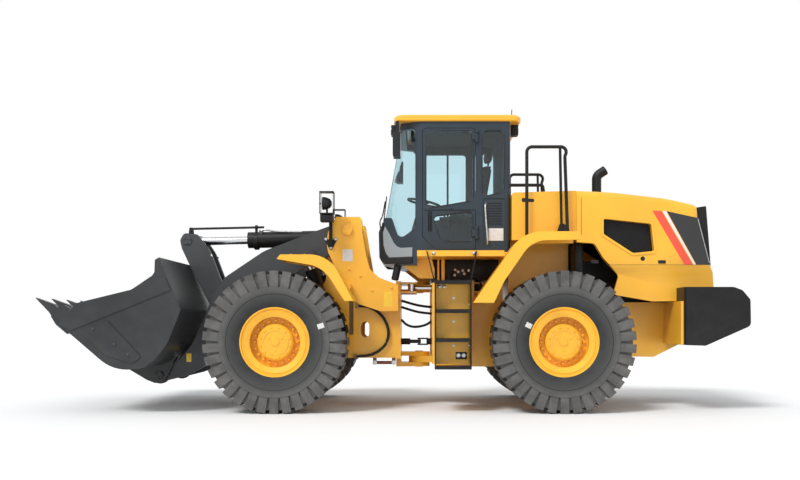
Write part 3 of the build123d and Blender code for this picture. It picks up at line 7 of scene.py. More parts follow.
# %% Load the frame
import bpy
import bmesh
import json
import math
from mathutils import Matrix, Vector


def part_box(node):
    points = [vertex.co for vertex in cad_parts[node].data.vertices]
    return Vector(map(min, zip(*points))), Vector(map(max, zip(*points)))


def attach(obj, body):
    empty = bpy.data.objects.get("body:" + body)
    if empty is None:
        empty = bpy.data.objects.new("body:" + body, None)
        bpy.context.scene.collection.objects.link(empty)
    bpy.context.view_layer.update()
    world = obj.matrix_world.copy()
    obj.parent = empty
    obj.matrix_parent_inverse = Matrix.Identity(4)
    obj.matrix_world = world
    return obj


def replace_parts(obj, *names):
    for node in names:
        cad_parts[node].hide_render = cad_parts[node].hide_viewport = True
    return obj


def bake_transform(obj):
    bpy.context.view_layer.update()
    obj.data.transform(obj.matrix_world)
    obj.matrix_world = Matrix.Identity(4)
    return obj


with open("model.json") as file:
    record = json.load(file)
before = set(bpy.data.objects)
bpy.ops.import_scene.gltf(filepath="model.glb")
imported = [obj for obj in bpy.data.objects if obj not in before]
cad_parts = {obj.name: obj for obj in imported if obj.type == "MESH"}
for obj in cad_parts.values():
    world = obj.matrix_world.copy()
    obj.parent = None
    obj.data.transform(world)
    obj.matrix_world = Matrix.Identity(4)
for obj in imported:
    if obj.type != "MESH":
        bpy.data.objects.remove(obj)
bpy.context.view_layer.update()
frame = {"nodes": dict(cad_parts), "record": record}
JOINTS = {joint["name"]: joint for joint in frame["record"]["behaviour"]["joints"]}
PIVOT = Vector(JOINTS["articulation"]["pos_m"])

# %% [markdown]
# ## The camera
# The machine is seen square from its left side, from about twelve metres away and a metre up.
# The view is framed with the horizon below its middle, which a level camera gets by shifting
# its lens upwards. Tilting the camera instead would make the uprights of the cab lean.

# %% Camera
VIEW_DISTANCE = 11.7
VIEW_HEIGHT = 1.0
VIEW_AHEAD = 0.02
FOCAL_PX = 938.0
FRAME_PX = 800.0
SENSOR = 36.0
SHIFT_ASIDE = -0.022
SHIFT_UP = 0.104

camera_data = bpy.data.cameras.new("camera")
camera_data.sensor_width = SENSOR
camera_data.lens = FOCAL_PX * SENSOR / FRAME_PX
camera_data.shift_x = SHIFT_ASIDE
camera_data.shift_y = SHIFT_UP
camera = bpy.data.objects.new("camera", camera_data)
bpy.context.scene.collection.objects.link(camera)
camera.location = (PIVOT.x + VIEW_AHEAD, VIEW_DISTANCE, VIEW_HEIGHT)
camera.rotation_euler = (math.radians(90), 0, math.radians(180))
bpy.context.scene.camera = camera
print("lens", round(camera_data.lens, 1), "mm")

# %% [markdown]
# ## Tools for shaders
# Every finish and the sky are graphs of nodes. Writing them by hand takes a line for each node and
# each wire, so three helpers make a node with its sockets set, draw a wire, and do a sum.

# %% Node, link and sum


def node(tree, kind, **sockets):
    """A new node of a kind, with its named sockets set."""
    made = tree.nodes.new(kind)
    for key, value in sockets.items():
        made.inputs[key.replace("_", " ")].default_value = value
    return made


def link(tree, source, target):
    """Join an output to an input."""
    tree.links.new(source, target)


def calculate(tree, operation, *values):
    """The result of a math node, whose values are numbers or outputs."""
    made = tree.nodes.new("ShaderNodeMath")
    made.operation = operation
    for socket, value in zip(made.inputs, values):
        if isinstance(value, (int, float)):
            socket.default_value = value
        else:
            link(tree, value, socket)
    return made.outputs[0]


print("node helpers ready in Blender", bpy.app.version_string)

# %% [markdown]
# ## The floor
# A plain pale floor catches the shadow and fades into the sky behind it. It is one large square,
# since a curved backdrop would only show if the camera looked down.

# %% Floor
PALE = (0.93, 0.93, 0.93)
FLOOR_HALF = 60


def plain_floor():
    """One large square under the wheels."""
    shape = bmesh.new()
    bmesh.ops.create_grid(shape, x_segments=1, y_segments=1, size=FLOOR_HALF)
    data = bpy.data.meshes.new("floor")
    shape.to_mesh(data)
    floor = bpy.data.objects.new("floor", data)
    bpy.context.scene.collection.objects.link(floor)
    material = bpy.data.materials.new("floor")
    material.use_nodes = True
    shader = material.node_tree.nodes["Principled BSDF"]
    shader.inputs["Base Color"].default_value = (*PALE, 1)
    shader.inputs["Roughness"].default_value = 0.9
    shader.inputs["Specular IOR Level"].default_value = 0.1
    data.materials.append(material)


plain_floor()
print("floor", 2 * FLOOR_HALF, "m wide")

# %% [markdown]
# ## Sky and sun
# The sky lights everything evenly, and one broad sun from above the bucket gives the dished rims and
# the fenders their shade. Both are kept so low that a colour shows about as it is written. The sky
# lights with less than it shows, so that the ground behind the machine is white all the same.

# %% Sky and sun
SKY_TINT = (0.97, 0.985, 1.0)
SKY_STRENGTH = 0.72
SUN_STRENGTH = 1.9
SUN_SIZE = 18.0
SUN_FROM = Vector((0.42, 0.62, 0.80))


def pale_sky():
    """An even sky, white where the camera, a mirror or glass looks at it."""
    world = bpy.data.worlds.new("sky")
    world.use_nodes = True
    tree = world.node_tree
    lit = tree.nodes["Background"]
    lit.inputs["Color"].default_value = (*SKY_TINT, 1)
    lit.inputs["Strength"].default_value = SKY_STRENGTH
    seen = node(tree, "ShaderNodeBackground", Color=(1, 1, 1, 1), Strength=1.0)
    path = tree.nodes.new("ShaderNodeLightPath")
    straight = path.outputs["Is Camera Ray"]
    for kind in ("Is Transmission Ray", "Is Glossy Ray"):
        straight = calculate(tree, "MAXIMUM", straight, path.outputs[kind])
    mix = tree.nodes.new("ShaderNodeMixShader")
    for socket, source in zip(mix.inputs, (straight, lit.outputs[0], seen.outputs[0])):
        link(tree, source, socket)
    link(tree, mix.outputs[0], tree.nodes["World Output"].inputs["Surface"])
    bpy.context.scene.world = world


def broad_sun():
    """A soft sun from above the bucket, on the side that the camera sees."""
    light = bpy.data.lights.new("sun", "SUN")
    light.energy = SUN_STRENGTH
    light.angle = math.radians(SUN_SIZE)
    sun = bpy.data.objects.new("sun", light)
    bpy.context.scene.collection.objects.link(sun)
    sun.rotation_mode = "QUATERNION"
    sun.rotation_quaternion = SUN_FROM.to_track_quat("Z", "Y")


pale_sky()
broad_sun()
bpy.context.scene.view_settings.view_transform = "Standard"
print("sky", SKY_STRENGTH, "sun", SUN_STRENGTH)

# %% [markdown]
# ## Noise and colour
# Wear is made from noise. A noise pattern is fixed to the piece, a range of it is stretched to full
# strength, and the result mixes two colours. Five small helpers say each of those in one word.

# %% Noise, range, product and mix


def noise(tree, where, scale, detail=3.0, roughness=0.55):
    """A noise pattern fixed to the piece."""
    made = node(tree, "ShaderNodeTexNoise", Scale=scale, Detail=detail, Roughness=roughness)
    link(tree, where, made.inputs["Vector"])
    return made.outputs["Fac"]


def span(tree, value, low, high, to_low=0.0, to_high=1.0):
    """Map low..high of a value to another range, and hold it there."""
    made = tree.nodes.new("ShaderNodeMapRange")
    for key, number in (("From Min", low), ("From Max", high), ("To Min", to_low), ("To Max", to_high)):
        made.inputs[key].default_value = number
    link(tree, value, made.inputs["Value"])
    return made.outputs["Result"]


def times(tree, first, second):
    """The product of two values, each a number or an output."""
    return calculate(tree, "MULTIPLY", first, second)


def blend_colour(tree, share, first, second):
    """Mix two colours, each a colour or an output."""
    made = tree.nodes.new("ShaderNodeMix")
    made.data_type = "RGBA"
    link(tree, share, made.inputs["Factor"])
    for name, value in (("A", first), ("B", second)):
        socket = [s for s in made.inputs if s.name == name and s.type == "RGBA"][0]
        if isinstance(value, tuple):
            socket.default_value = (*value, 1)
        else:
            link(tree, value, socket)
    return [s for s in made.outputs if s.type == "RGBA"][0]


def scaled(colour, by):
    """A colour made darker or lighter."""
    return tuple(min(1.0, channel * by) for channel in colour)


print("a yellow made half as bright is", scaled((1.0, 0.5, 0.0), 0.5))

# %% [markdown]
# ## The look of paint
# Real paint is never one flat colour: it fades in patches, gathers dust low down, and has a fine
# skin that breaks its reflections. One helper mixes those three things, so that every finish of the
# machine differs only in its numbers. Painted images would need a map for each piece.

# %% A helper for painted, cast and moulded finishes
DUST = (0.42, 0.36, 0.27)
PATCH_EDGES = (0.35, 0.68)
DUST_EDGES = (0.42, 0.78)
DUST_FLOOR = 0.1
DUST_TOP = 1.6
DUST_SHARES = (0.12, 1.0)
DUST_NOISE = (5.5, 6.0, 0.7)
LIGHTER_SHARE = 0.4
SHEEN_EDGES = (0.3, 0.7)
SHEEN_SPREAD = 0.07
SHARPEST = 0.03
COAT_ROUGH = 0.12
SKIN_DEPTH = 0.01


def surface(name):
    """A new material, with its tree, its shader and the piece's own coordinates."""
    material = bpy.data.materials.new(name)
    material.use_nodes = True
    tree = material.node_tree
    where = tree.nodes.new("ShaderNodeTexCoord").outputs["Object"]
    return material, tree, tree.nodes["Principled BSDF"], where


def finish(name, colour, rough=0.45, metal=0.0, coat=0.0, fade=0.10, patch=1.4, dust=0.25,
           skin=0.02, skin_scale=90.0, gloss=0.5):
    """A finish that fades in patches, gathers dust and has a fine skin."""
    material, tree, shader, where = surface(name)
    patches = span(tree, noise(tree, where, patch), *PATCH_EDGES)
    body = blend_colour(tree, patches, scaled(colour, 1 - fade),
                        scaled(colour, 1 + fade * LIGHTER_SHARE))
    if dust:
        parts = tree.nodes.new("ShaderNodeSeparateXYZ")
        link(tree, where, parts.inputs[0])
        low = span(tree, parts.outputs["Z"], DUST_TOP, DUST_FLOOR, *DUST_SHARES)
        cloudy = span(tree, noise(tree, where, *DUST_NOISE), *DUST_EDGES)
        body = blend_colour(tree, times(tree, times(tree, low, cloudy), dust), body, DUST)
    link(tree, body, shader.inputs["Base Color"])
    fine = noise(tree, where, skin_scale, 4.0)
    sheen = span(tree, fine, *SHEEN_EDGES, max(SHARPEST, rough - SHEEN_SPREAD), rough + SHEEN_SPREAD)
    link(tree, sheen, shader.inputs["Roughness"])
    shader.inputs["Metallic"].default_value = metal
    shader.inputs["Coat Weight"].default_value = coat
    shader.inputs["Coat Roughness"].default_value = COAT_ROUGH
    shader.inputs["Specular IOR Level"].default_value = gloss
    if skin:
        bump = node(tree, "ShaderNodeBump", Strength=0.5, Distance=skin * SKIN_DEPTH)
        link(tree, fine, bump.inputs["Height"])
        link(tree, bump.outputs[0], shader.inputs["Normal"])
    return material


print("noise of the dust", DUST_NOISE)

# %% [markdown]
# ## The finishes of the solids
# Yellow enamel on the body, a matt black on the arm and the cab, bare and chromed steel, rubber and
# moulded plastic. The black ones get less gloss than the default, because old black paint that
# mirrors a white sky looks grey.

# %% Finishes of the solids
YELLOW = (1.0, 0.495, 0.026)
FINISH = {
    "body_paint": finish("body paint", YELLOW, rough=0.38, coat=0.35, dust=0.22),
    "rim_paint": finish("rim paint", YELLOW, rough=0.42, coat=0.2, fade=0.14, patch=3.0, dust=0),
    "cylinder_paint": finish("cylinder paint", YELLOW, rough=0.4, coat=0.25, fade=0.12),
    # The axles take the body yellow at a little over half its brightness: painted shade for their place
    # under the body, with dust on top.
    "axle_paint": finish("axle yellow with painted shade", (0.55, 0.26, 0.02), rough=0.6, fade=0.3, patch=4.0, dust=0.6,
                         skin=0.15),
    "boom_paint": finish("boom paint", (0.056, 0.059, 0.064), rough=0.42, coat=0.08, fade=0.2, dust=0.1,
                         gloss=0.35),
    "bucket_paint": finish("bucket paint", (0.030, 0.032, 0.035), rough=0.38, coat=0.05, fade=0.3,
                           dust=0.08, gloss=0.4),
    "cab_paint": finish("cab paint", (0.026, 0.040, 0.056), rough=0.42, coat=0.08, fade=0.15, dust=0.08,
                        gloss=0.35),
    "black_paint": finish("black paint", (0.013, 0.013, 0.014), rough=0.42, fade=0.3, dust=0.05,
                          gloss=0.25),
    "plastic": finish("moulded plastic", (0.016, 0.017, 0.019), rough=0.5, fade=0.2, dust=0.06,
                      skin=0.12, gloss=0.3),
    "hose": finish("hose rubber", (0.012, 0.012, 0.013), rough=0.5, fade=0.2, patch=9.0, dust=0.1,
                   skin=0.1, gloss=0.3),
    "steel": finish("worn steel", (0.30, 0.29, 0.28), rough=0.5, metal=0.7, fade=0.3, patch=6.0,
                    dust=0.4, skin=0.1),
    "chrome": finish("hard chrome", (0.72, 0.73, 0.75), rough=0.16, metal=1.0, fade=0.08, patch=8.0,
                     dust=0, skin=0),
    "screen": finish("black mesh", (0.010, 0.010, 0.011), rough=0.5, fade=0.3, patch=5.0, dust=0.03,
                     gloss=0.2),
    "seat_cloth": finish("seat cloth", (0.022, 0.023, 0.026), rough=0.85, fade=0.3, patch=14.0, dust=0,
                         skin=0.5, skin_scale=420.0),
    "tyre": finish("tyre rubber", (0.075, 0.073, 0.070), rough=0.85, fade=0.3, patch=5.0, dust=0,
                   skin=0.2),
}
print(len(FINISH), "finishes")

# %% [markdown]
# ## Glass
# The panes are thin flat sheets with a faint green-blue tint. They are true glass for the eye, and
# let the sun's rays straight through to the seat behind them, as thin glass all but does. Glass
# that bent those rays too would leave the cab dark and take far longer to render.

# %% Glass
PANE_TINT = (0.72, 0.88, 0.92)
GLASS_BEND = 1.45
SMUDGE_NOISE = (3.0, 5.0, 0.7)
SMUDGES = (0.4, 0.8, 0.01, 0.05)


def pane_glass(name, tint):
    """Tinted glass that casts only a faint shadow."""
    material, tree, shader, where = surface(name)
    shader.inputs["Base Color"].default_value = (*tint, 1)
    shader.inputs["Transmission Weight"].default_value = 1.0
    shader.inputs["IOR"].default_value = GLASS_BEND
    smudges = span(tree, noise(tree, where, *SMUDGE_NOISE), *SMUDGES)
    link(tree, smudges, shader.inputs["Roughness"])
    clear = node(tree, "ShaderNodeBsdfTransparent", Color=(*tint, 1))
    path = tree.nodes.new("ShaderNodeLightPath")
    mix = tree.nodes.new("ShaderNodeMixShader")
    sources = (path.outputs["Is Shadow Ray"], shader.outputs[0], clear.outputs[0])
    for socket, source in zip(mix.inputs, sources):
        link(tree, source, socket)
    link(tree, mix.outputs[0], tree.nodes["Material Output"].inputs["Surface"])
    return material


FINISH["glass"] = pane_glass("cab glass", PANE_TINT)
print("glass tinted", PANE_TINT)

# %% [markdown]
# ## Dress the solids
# Every solid names the finish that it should have. Most shapes are right as they stand, so they
# only take their finish here; what follows replaces or adds to the rest.

# %% Finishes on the solids


def dress(name, material):
    """Give one solid its finish."""
    solid = frame["nodes"][name]
    if not solid.material_slots:
        solid.data.materials.append(material)
    for held in solid.material_slots:
        held.material = material


for part in frame["record"]["subparts"]:
    dress(part["node"], FINISH[part["material_slot"]])

# %% [markdown]
# ## Tools for added pieces
# Bolts, plates, lenses and trim are all made in mesh code. A few helpers draw the basic forms into
# one mesh, so that a whole family, such as the nuts of a wheel, is one piece. Sizes here are in
# millimetres from the articulation pins, like a fitter's drawing, and turn to metres at the end.
# Y is to the machine's left, and most pieces are drawn once a side.

# %% Places, sides and slots
MM = 0.001
SIDES = (("left", 1), ("right", -1))


def at(x, y, z):
    """A place of the drawing, in metres in the machine's frame."""
    return Vector((PIVOT.x + x * MM, y * MM, z * MM))


def between(a, b):
    """Two limits, the lower one first."""
    return (min(a, b), max(a, b))


def on_side(sign, inner, outer):
    """The limits in y between two distances out on one side of the machine."""
    return between(sign * inner, sign * outer)


# %% [markdown]
# ## Round forms
# Most small parts of a machine come off a lathe: pins, nuts, caps, lenses. One helper spins a
# profile round an axis, and the others hand it the profile of a bar, a flat button or a bolt. A hexagon
# is the same profile spun in six steps only.

# %% Lathe, rod, button and bolt
WASHER_THICK = 2.6
CORNERS_TO_FLATS = 1.155


def square_to(axis):
    """Two directions at right angles to an axis."""
    axis = Vector(axis).normalized()
    first = axis.orthogonal().normalized()
    if abs(axis.z) < 0.9:
        first = Vector((0, 0, 1)).cross(axis).normalized()
    return first, axis.cross(first)


def lathe(shape, centre, axis, profile, steps=24, turn=0.0):
    """Spin a profile of (out along the axis, radius) in millimetres round an axis."""
    axis = Vector(axis).normalized()
    u, v = square_to(axis)
    rings = []
    for out, radius in profile:
        middle = centre + axis * out * MM
        if radius == 0:
            rings.append([shape.verts.new(middle)])
            continue
        angles = [turn + step * math.tau / steps for step in range(steps)]
        rings.append([shape.verts.new(middle + (u * math.cos(a) + v * math.sin(a)) * radius * MM)
                      for a in angles])
    for low, high in zip(rings, rings[1:]):
        for step in range(steps):
            after = (step + 1) % steps
            if len(low) == 1 and len(high) > 1:
                shape.faces.new((low[0], high[after], high[step]))
            elif len(high) == 1 and len(low) > 1:
                shape.faces.new((low[step], low[after], high[0]))
            elif len(low) > 1:
                shape.faces.new((low[step], low[after], high[after], high[step]))


def rod(shape, start, end, radius, steps=12):
    """A round bar with eased ends."""
    length = (end - start).length / MM
    ease = min(radius, length) * 0.3
    profile = [(0, 0), (0, radius - ease), (ease, radius)]
    profile += [(length - out, r) for out, r in reversed(profile)]
    lathe(shape, start, end - start, profile, steps)


def button(shape, centre, axis, radius, height, edge=(2, 3), steps=20):
    """A flat round button whose rim is turned off by an edge of (down, in)."""
    down, inwards = edge
    profile = [(0, radius), (height - down, radius), (height, radius - inwards), (height, 0)]
    lathe(shape, centre, axis, profile, steps)


def bolt(shape, centre, axis, across=24.0, height=12.0):
    """A hexagon head on a washer, with its corners turned off."""
    button(shape, centre, axis, across * 0.72, WASHER_THICK, (0.4, across * 0.04), 16)
    r = across / 2 * CORNERS_TO_FLATS
    top = WASHER_THICK + height
    profile = [(WASHER_THICK, r), (WASHER_THICK + height * 0.82, r), (top, r * 0.84), (top, 0)]
    lathe(shape, centre, axis, profile, 6)


def bolt_circle(x, z, radius, count, share=0.0):
    """Places (x, z, angle) spread evenly round a circle, turned on by a share of one step."""
    for n in range(count):
        angle = math.tau * (n + share) / count
        yield x + radius * math.cos(angle), z + radius * math.sin(angle), angle


sample = bmesh.new()
bolt(sample, at(0, 0, 0), (0, 1, 0))
print("a bolt has", len(sample.verts), "points")
sample.free()

# %% [markdown]
# ## Flat forms and finished pieces
# Plates are side outlines with a thickness, and boxes are three pairs of limits. A finished piece
# then gets its edges eased where they are sharp, smooth shading where it curves, its finish, and
# the body that it rides on.

# %% Slab, block and finished piece
SHARP = 35.0
ADDED = {}


def close_rings(shape, rings):
    """Cap the first and the last ring of points, and join each ring to the next."""
    shape.faces.new(rings[0])
    shape.faces.new(list(reversed(rings[-1])))
    for low, high in zip(rings, rings[1:]):
        for n in range(len(low)):
            m = (n + 1) % len(low)
            shape.faces.new((low[m], low[n], high[n], high[m]))


def slab(shape, points, y, depth):
    """A flat plate of a side outline in millimetres, from y outwards by a depth that has a sign."""
    close_rings(shape, [[shape.verts.new(at(x, level, z)) for x, z in points] for level in (y, y + depth)])


def block(shape, x, y, z):
    """A block from its three (low, high) pairs in millimetres."""
    corners = [[[shape.verts.new(at(a, b, c)) for c in z] for b in y] for a in x]
    quads = [
        ((0, 0, 0), (0, 0, 1), (0, 1, 1), (0, 1, 0)),
        ((1, 0, 0), (1, 1, 0), (1, 1, 1), (1, 0, 1)),
        ((0, 0, 0), (1, 0, 0), (1, 0, 1), (0, 0, 1)),
        ((0, 1, 0), (0, 1, 1), (1, 1, 1), (1, 1, 0)),
        ((0, 0, 0), (0, 1, 0), (1, 1, 0), (1, 0, 0)),
        ((0, 0, 1), (1, 0, 1), (1, 1, 1), (0, 1, 1)),
    ]
    for quad in quads:
        shape.faces.new([corners[a][b][c] for a, b, c in quad])


def piece(name, shape, material, body=None, ease=0.0, sharp=SHARP):
    """Finish a mesh: eased edges, smooth where it curves, a material and the body it rides on."""
    bmesh.ops.recalc_face_normals(shape, faces=shape.faces)
    if ease:
        joined = [edge for edge in shape.edges if len(edge.link_faces) == 2]
        corners = [edge for edge in joined if edge.calc_face_angle() > math.radians(sharp)]
        bmesh.ops.bevel(shape, geom=corners, offset=ease * MM, segments=2, affect="EDGES", profile=0.5)
    data = bpy.data.meshes.new(name)
    shape.to_mesh(data)
    shape.free()
    data.materials.append(material)
    for polygon in data.polygons:
        polygon.use_smooth = True
    data.set_sharp_from_angle(angle=math.radians(sharp))
    made = bpy.data.objects.new(name, data)
    bpy.context.scene.collection.objects.link(made)
    if body:
        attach(made, body)
    return made


def keep(name, shape, slot, body=None, ease=0.0, sharp=SHARP):
    """A finished piece whose material is one of the finishes."""
    ADDED[name] = piece(name, shape, FINISH[slot], body, ease, sharp)
    return ADDED[name]


def paired(name, draw, slot, body, ease=0.0):
    """A piece that one function draws on the left and again on the right of the machine."""
    shape = bmesh.new()
    for side, sign in SIDES:
        draw(shape, sign)
    return keep(name, shape, slot, body, ease)


print("corners over", SHARP, "degrees stay sharp")

# %% [markdown]
# ## Tyres
# A loader's tyre is one moulding. The solid already has its lugs, so what is missing is colour: the
# lugs are scuffed grey where they roll, the band below them is lighter from dust, and the lower
# sidewall stays dark. The material reads how far a point lies from the axle, so that it turns with
# the wheel. A painted image would have to be unwrapped round every lug.

# %% Colour of the rubber by its distance from the axle
AXLES = {end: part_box(f"tyre_{end}_left") for end in ("front", "rear")}
RUBBER_LUG = (0.118, 0.115, 0.110)
RUBBER_BAND = (0.100, 0.100, 0.098)
RUBBER_LOW = (0.032, 0.034, 0.036)
BAND_RADIUS = 0.606
BEAD_LINE = 0.532
RING_HALF = 0.0035
SCUFF_NOISE = (7.0, 6.0, 0.65)
SCUFF_EDGES = (0.36, 0.66)


def axle_distance(tree, where, middle):
    """How far a point lies from an axle that runs across the machine at a middle (x, z)."""
    parts = tree.nodes.new("ShaderNodeSeparateXYZ")
    link(tree, where, parts.inputs[0])
    flat = tree.nodes.new("ShaderNodeCombineXYZ")
    for axis in ("X", "Z"):
        link(tree, parts.outputs[axis], flat.inputs[axis])
    reach = tree.nodes.new("ShaderNodeVectorMath")
    reach.operation = "DISTANCE"
    link(tree, flat.outputs[0], reach.inputs[0])
    reach.inputs[1].default_value = (middle[0], 0, middle[1])
    return reach.outputs["Value"]


def tyre_colour(tree, where, radius):
    """From the bead out: a dark sidewall, a fine ring, the dusty band and the scuffed lugs."""
    cloudy = span(tree, noise(tree, where, *SCUFF_NOISE), *SCUFF_EDGES)

    def worn(colour, dark, light):
        return blend_colour(tree, cloudy, scaled(colour, dark), scaled(colour, light))

    body = worn(RUBBER_LOW, 0.8, 1.25)
    bands = [
        # the radii between which the next colour takes over, and that colour
        (BEAD_LINE - 0.110, BEAD_LINE - 0.005, scaled(RUBBER_BAND, 0.62)),
        (BEAD_LINE - 0.004, BEAD_LINE + 0.050, worn(RUBBER_BAND, 0.85, 1.15)),
        (BAND_RADIUS, BAND_RADIUS + 0.030, worn(RUBBER_LUG, 0.72, 1.22)),
    ]
    for low, high, colour in bands:
        body = blend_colour(tree, span(tree, radius, low, high), body, colour)
    ring = calculate(tree, "COMPARE", radius, BEAD_LINE, RING_HALF)
    return blend_colour(tree, ring, body, scaled(RUBBER_LOW, 0.5))


print("axles", {end: [round(value, 3) for value in low] for end, (low, high) in AXLES.items()})

# %% [markdown]
# ## Grain of the rubber
# Close up, a sidewall has fine ribs that run round it, and the lugs have worn, rounded edges. Both
# are bump, since so fine a relief would cost millions of faces. The bevel node rounds the look of an
# edge without touching the mesh.

# %% Grain, and the rubber put on the tyres
GRAIN_NOISE = (60.0, 5.0, 0.7)
GRAIN_DEPTH = 0.003
RIB_WAVES = 520.0
RIB_SHARE = 0.12
LUG_EDGE = 0.008


def tyre_grain(tree, where, radius):
    """A fine grain with faint ribs round the tyre, on edges that look rounded."""
    fine = noise(tree, where, *GRAIN_NOISE)
    ribs = calculate(tree, "SINE", times(tree, radius, RIB_WAVES))
    edge = node(tree, "ShaderNodeBevel", Radius=LUG_EDGE)
    bump = node(tree, "ShaderNodeBump", Strength=0.6, Distance=GRAIN_DEPTH)
    link(tree, calculate(tree, "ADD", fine, times(tree, ribs, RIB_SHARE)), bump.inputs["Height"])
    link(tree, edge.outputs[0], bump.inputs["Normal"])
    return bump.outputs[0]


def tyre_rubber(name, middle):
    """Rubber whose colour follows the distance from the axle at a middle (x, z)."""
    material, tree, shader, where = surface(name)
    radius = axle_distance(tree, where, middle)
    link(tree, tyre_colour(tree, where, radius), shader.inputs["Base Color"])
    link(tree, tyre_grain(tree, where, radius), shader.inputs["Normal"])
    shader.inputs["Roughness"].default_value = 0.62
    shader.inputs["Specular IOR Level"].default_value = 0.3
    return material


for end, (low, high) in AXLES.items():
    middle = ((low[0] + high[0]) / 2, (low[2] + high[2]) / 2)
    rubber = tyre_rubber(f"tyre rubber {end}", middle)
    for side, sign in SIDES:
        dress(f"tyre_{end}_{side}", rubber)
    print(end, "axle at", tuple(round(value, 3) for value in middle))

# %% [markdown]
# ## Wheel nuts and hub bolts
# Twenty nuts hold each rim to its hub, deep in the dish, and twelve small screws close the cover of
# the planetary gear. Each ring is one piece that turns with its wheel. They could be copies of one
# nut, but one mesh a ring keeps the list of pieces short.

# %% Nuts, screws and plugs
AXLE_X = {"front": 1600.0, "rear": -1600.0}
AXLE_HEIGHT = (AXLES["front"][0][2] + AXLES["front"][1][2]) / 2 / MM
WHEEL_Y = 1100.0
DISC_Y = WHEEL_Y + 105.0
COVER_Y = WHEEL_Y + 204.0
NUT_CIRCLE = 240.0
SCREW_CIRCLE = 166.0
PLUG_CIRCLE = 88.0
CONE_WASHER = [(0, 22), (5, 22), (9, 17)]
WHEEL_NUT = [(5, 19), (26, 19), (29, 15), (29, 0)]
STUD_END = [(29, 10), (37, 10), (38, 8), (38, 0)]


def wheel_nuts(shape, x, sign):
    """Twenty nuts on cone washers, with the ends of their studs."""
    out = (0, sign, 0)
    for nut_x, nut_z, angle in bolt_circle(x, AXLE_HEIGHT, NUT_CIRCLE, 20):
        spot = at(nut_x, sign * DISC_Y, nut_z)
        lathe(shape, spot, out, CONE_WASHER, 16)
        lathe(shape, spot, out, WHEEL_NUT, 6, angle)
        lathe(shape, spot, out, STUD_END, 10)


def hub_screws(shape, x, sign):
    """The twelve screws of the gear's cover, its three plugs and the cap in its middle."""
    out = (0, sign, 0)
    for screw_x, screw_z, angle in bolt_circle(x, AXLE_HEIGHT, SCREW_CIRCLE, 12, 0.5):
        bolt(shape, at(screw_x, sign * COVER_Y, screw_z), out, 18, 9)
    for plug_x, plug_z, angle in bolt_circle(x, AXLE_HEIGHT, PLUG_CIRCLE, 3, 0.25):
        button(shape, at(plug_x, sign * COVER_Y, plug_z), out, 15, 6, (1, 2), 18)
    button(shape, at(x, sign * COVER_Y, AXLE_HEIGHT), out, 46, 9, (3, 4), 32)


for end, x in AXLE_X.items():
    for side, sign in SIDES:
        for name, draw in (("nuts", wheel_nuts), ("hub_screws", hub_screws)):
            shape = bmesh.new()
            draw(shape, x, sign)
            keep(f"{name}_{end}_{side}", shape, "rim_paint", f"wheel_{end}_{side}")
print("wheel pieces", len(ADDED))

# %% [markdown]
# ## Pins and their caps
# Every joint of the arm turns on a hardened pin. A cap plate with a few bolts keeps each pin in its
# bore and closes it against dirt, so the caps ride on whichever side holds the pin still.

# %% Pin caps
BOOM_PIN = (850.0, 2100.0)
BUCKET_PIN = (3080.0, 385.0)
ROD_PIN = (2848.0, 2018.0)
LINK_PIN = (2091.0, 506.0)
EAR_PIN = (2768.0, 565.0)
LIFT_BASE = (1000.0, 760.0)
LIFT_PIN = (1309.0, 1779.0)
LIFT_CAP_Y = 745.0
LIFT_CAP = [(0, 54), (9, 54), (12, 50), (12, 16), (9, 0)]
CAP_THICK = 11
CAPS = [
    # name, pin, y of the outer face, cap radius, bolts, slot, body
    ("boom_pin", BOOM_PIN, 630.5, 62, 4, "body_paint", "front_frame"),
    ("bucket_pin", BUCKET_PIN, 602.0, 52, 3, "bucket_paint", "bucket"),
    ("lift_foot", LIFT_BASE, 753.0, 50, 3, "body_paint", "front_frame"),
    ("rod_eye", ROD_PIN, 175.0, 58, 3, "boom_paint", "rocker"),
    ("link_eye", LINK_PIN, 175.0, 54, 3, "boom_paint", "rocker"),
    ("ear_pin", EAR_PIN, 123.0, 52, 3, "bucket_paint", "bucket"),
]


def pin_cap(shape, pin, y, radius, count, sign):
    """A cap plate with a sunk middle, held by a ring of bolts."""
    out = (0, sign, 0)
    rim = [(0, radius), (CAP_THICK - 3, radius), (CAP_THICK, radius - 3)]
    core = [(CAP_THICK, radius * 0.3), (CAP_THICK - 3, 0)]
    lathe(shape, at(pin[0], sign * y, pin[1]), out, rim + core, 32)
    for x, z, angle in bolt_circle(*pin, radius * 0.66, count, 0.3):
        bolt(shape, at(x, sign * (y + CAP_THICK), z), out, 19, 9)


def lift_pin_cap(shape, sign):
    """The cap over the upper pin of a lift cylinder."""
    out = (0, sign, 0)
    lathe(shape, at(LIFT_PIN[0], sign * LIFT_CAP_Y, LIFT_PIN[1]), out, LIFT_CAP, 32)
    for x, z, angle in bolt_circle(*LIFT_PIN, 34, 3, 0.1):
        bolt(shape, at(x, sign * (LIFT_CAP_Y + 12), z), out, 18, 9)


for name, pin, y, radius, count, slot, body in CAPS:
    shape = bmesh.new()
    for side, sign in SIDES:
        pin_cap(shape, pin, y, radius, count, sign)
    keep(f"cap_{name}", shape, slot, body)
paired("cap_lift_pin", lift_pin_cap, "boom_paint", "boom")
print("caps", len(CAPS) + 1)

# %% [markdown]
# ## Edges of the solids
# A drawn solid has dead sharp edges and flat facets. Pressed and flame-cut steel is smooth along a
# curve and a little round at each corner. Shading the curved faces smooth, and keeping the corners
# sharp by their angle, shows the curves without moving a point; the corners are not rounded.

# %% Smooth shading of the solids
CORNER = math.radians(28)
WELD_GAP = 0.00002
FLAT_SHEETS = ("hood_screens", "cab_glass", "door_glass")


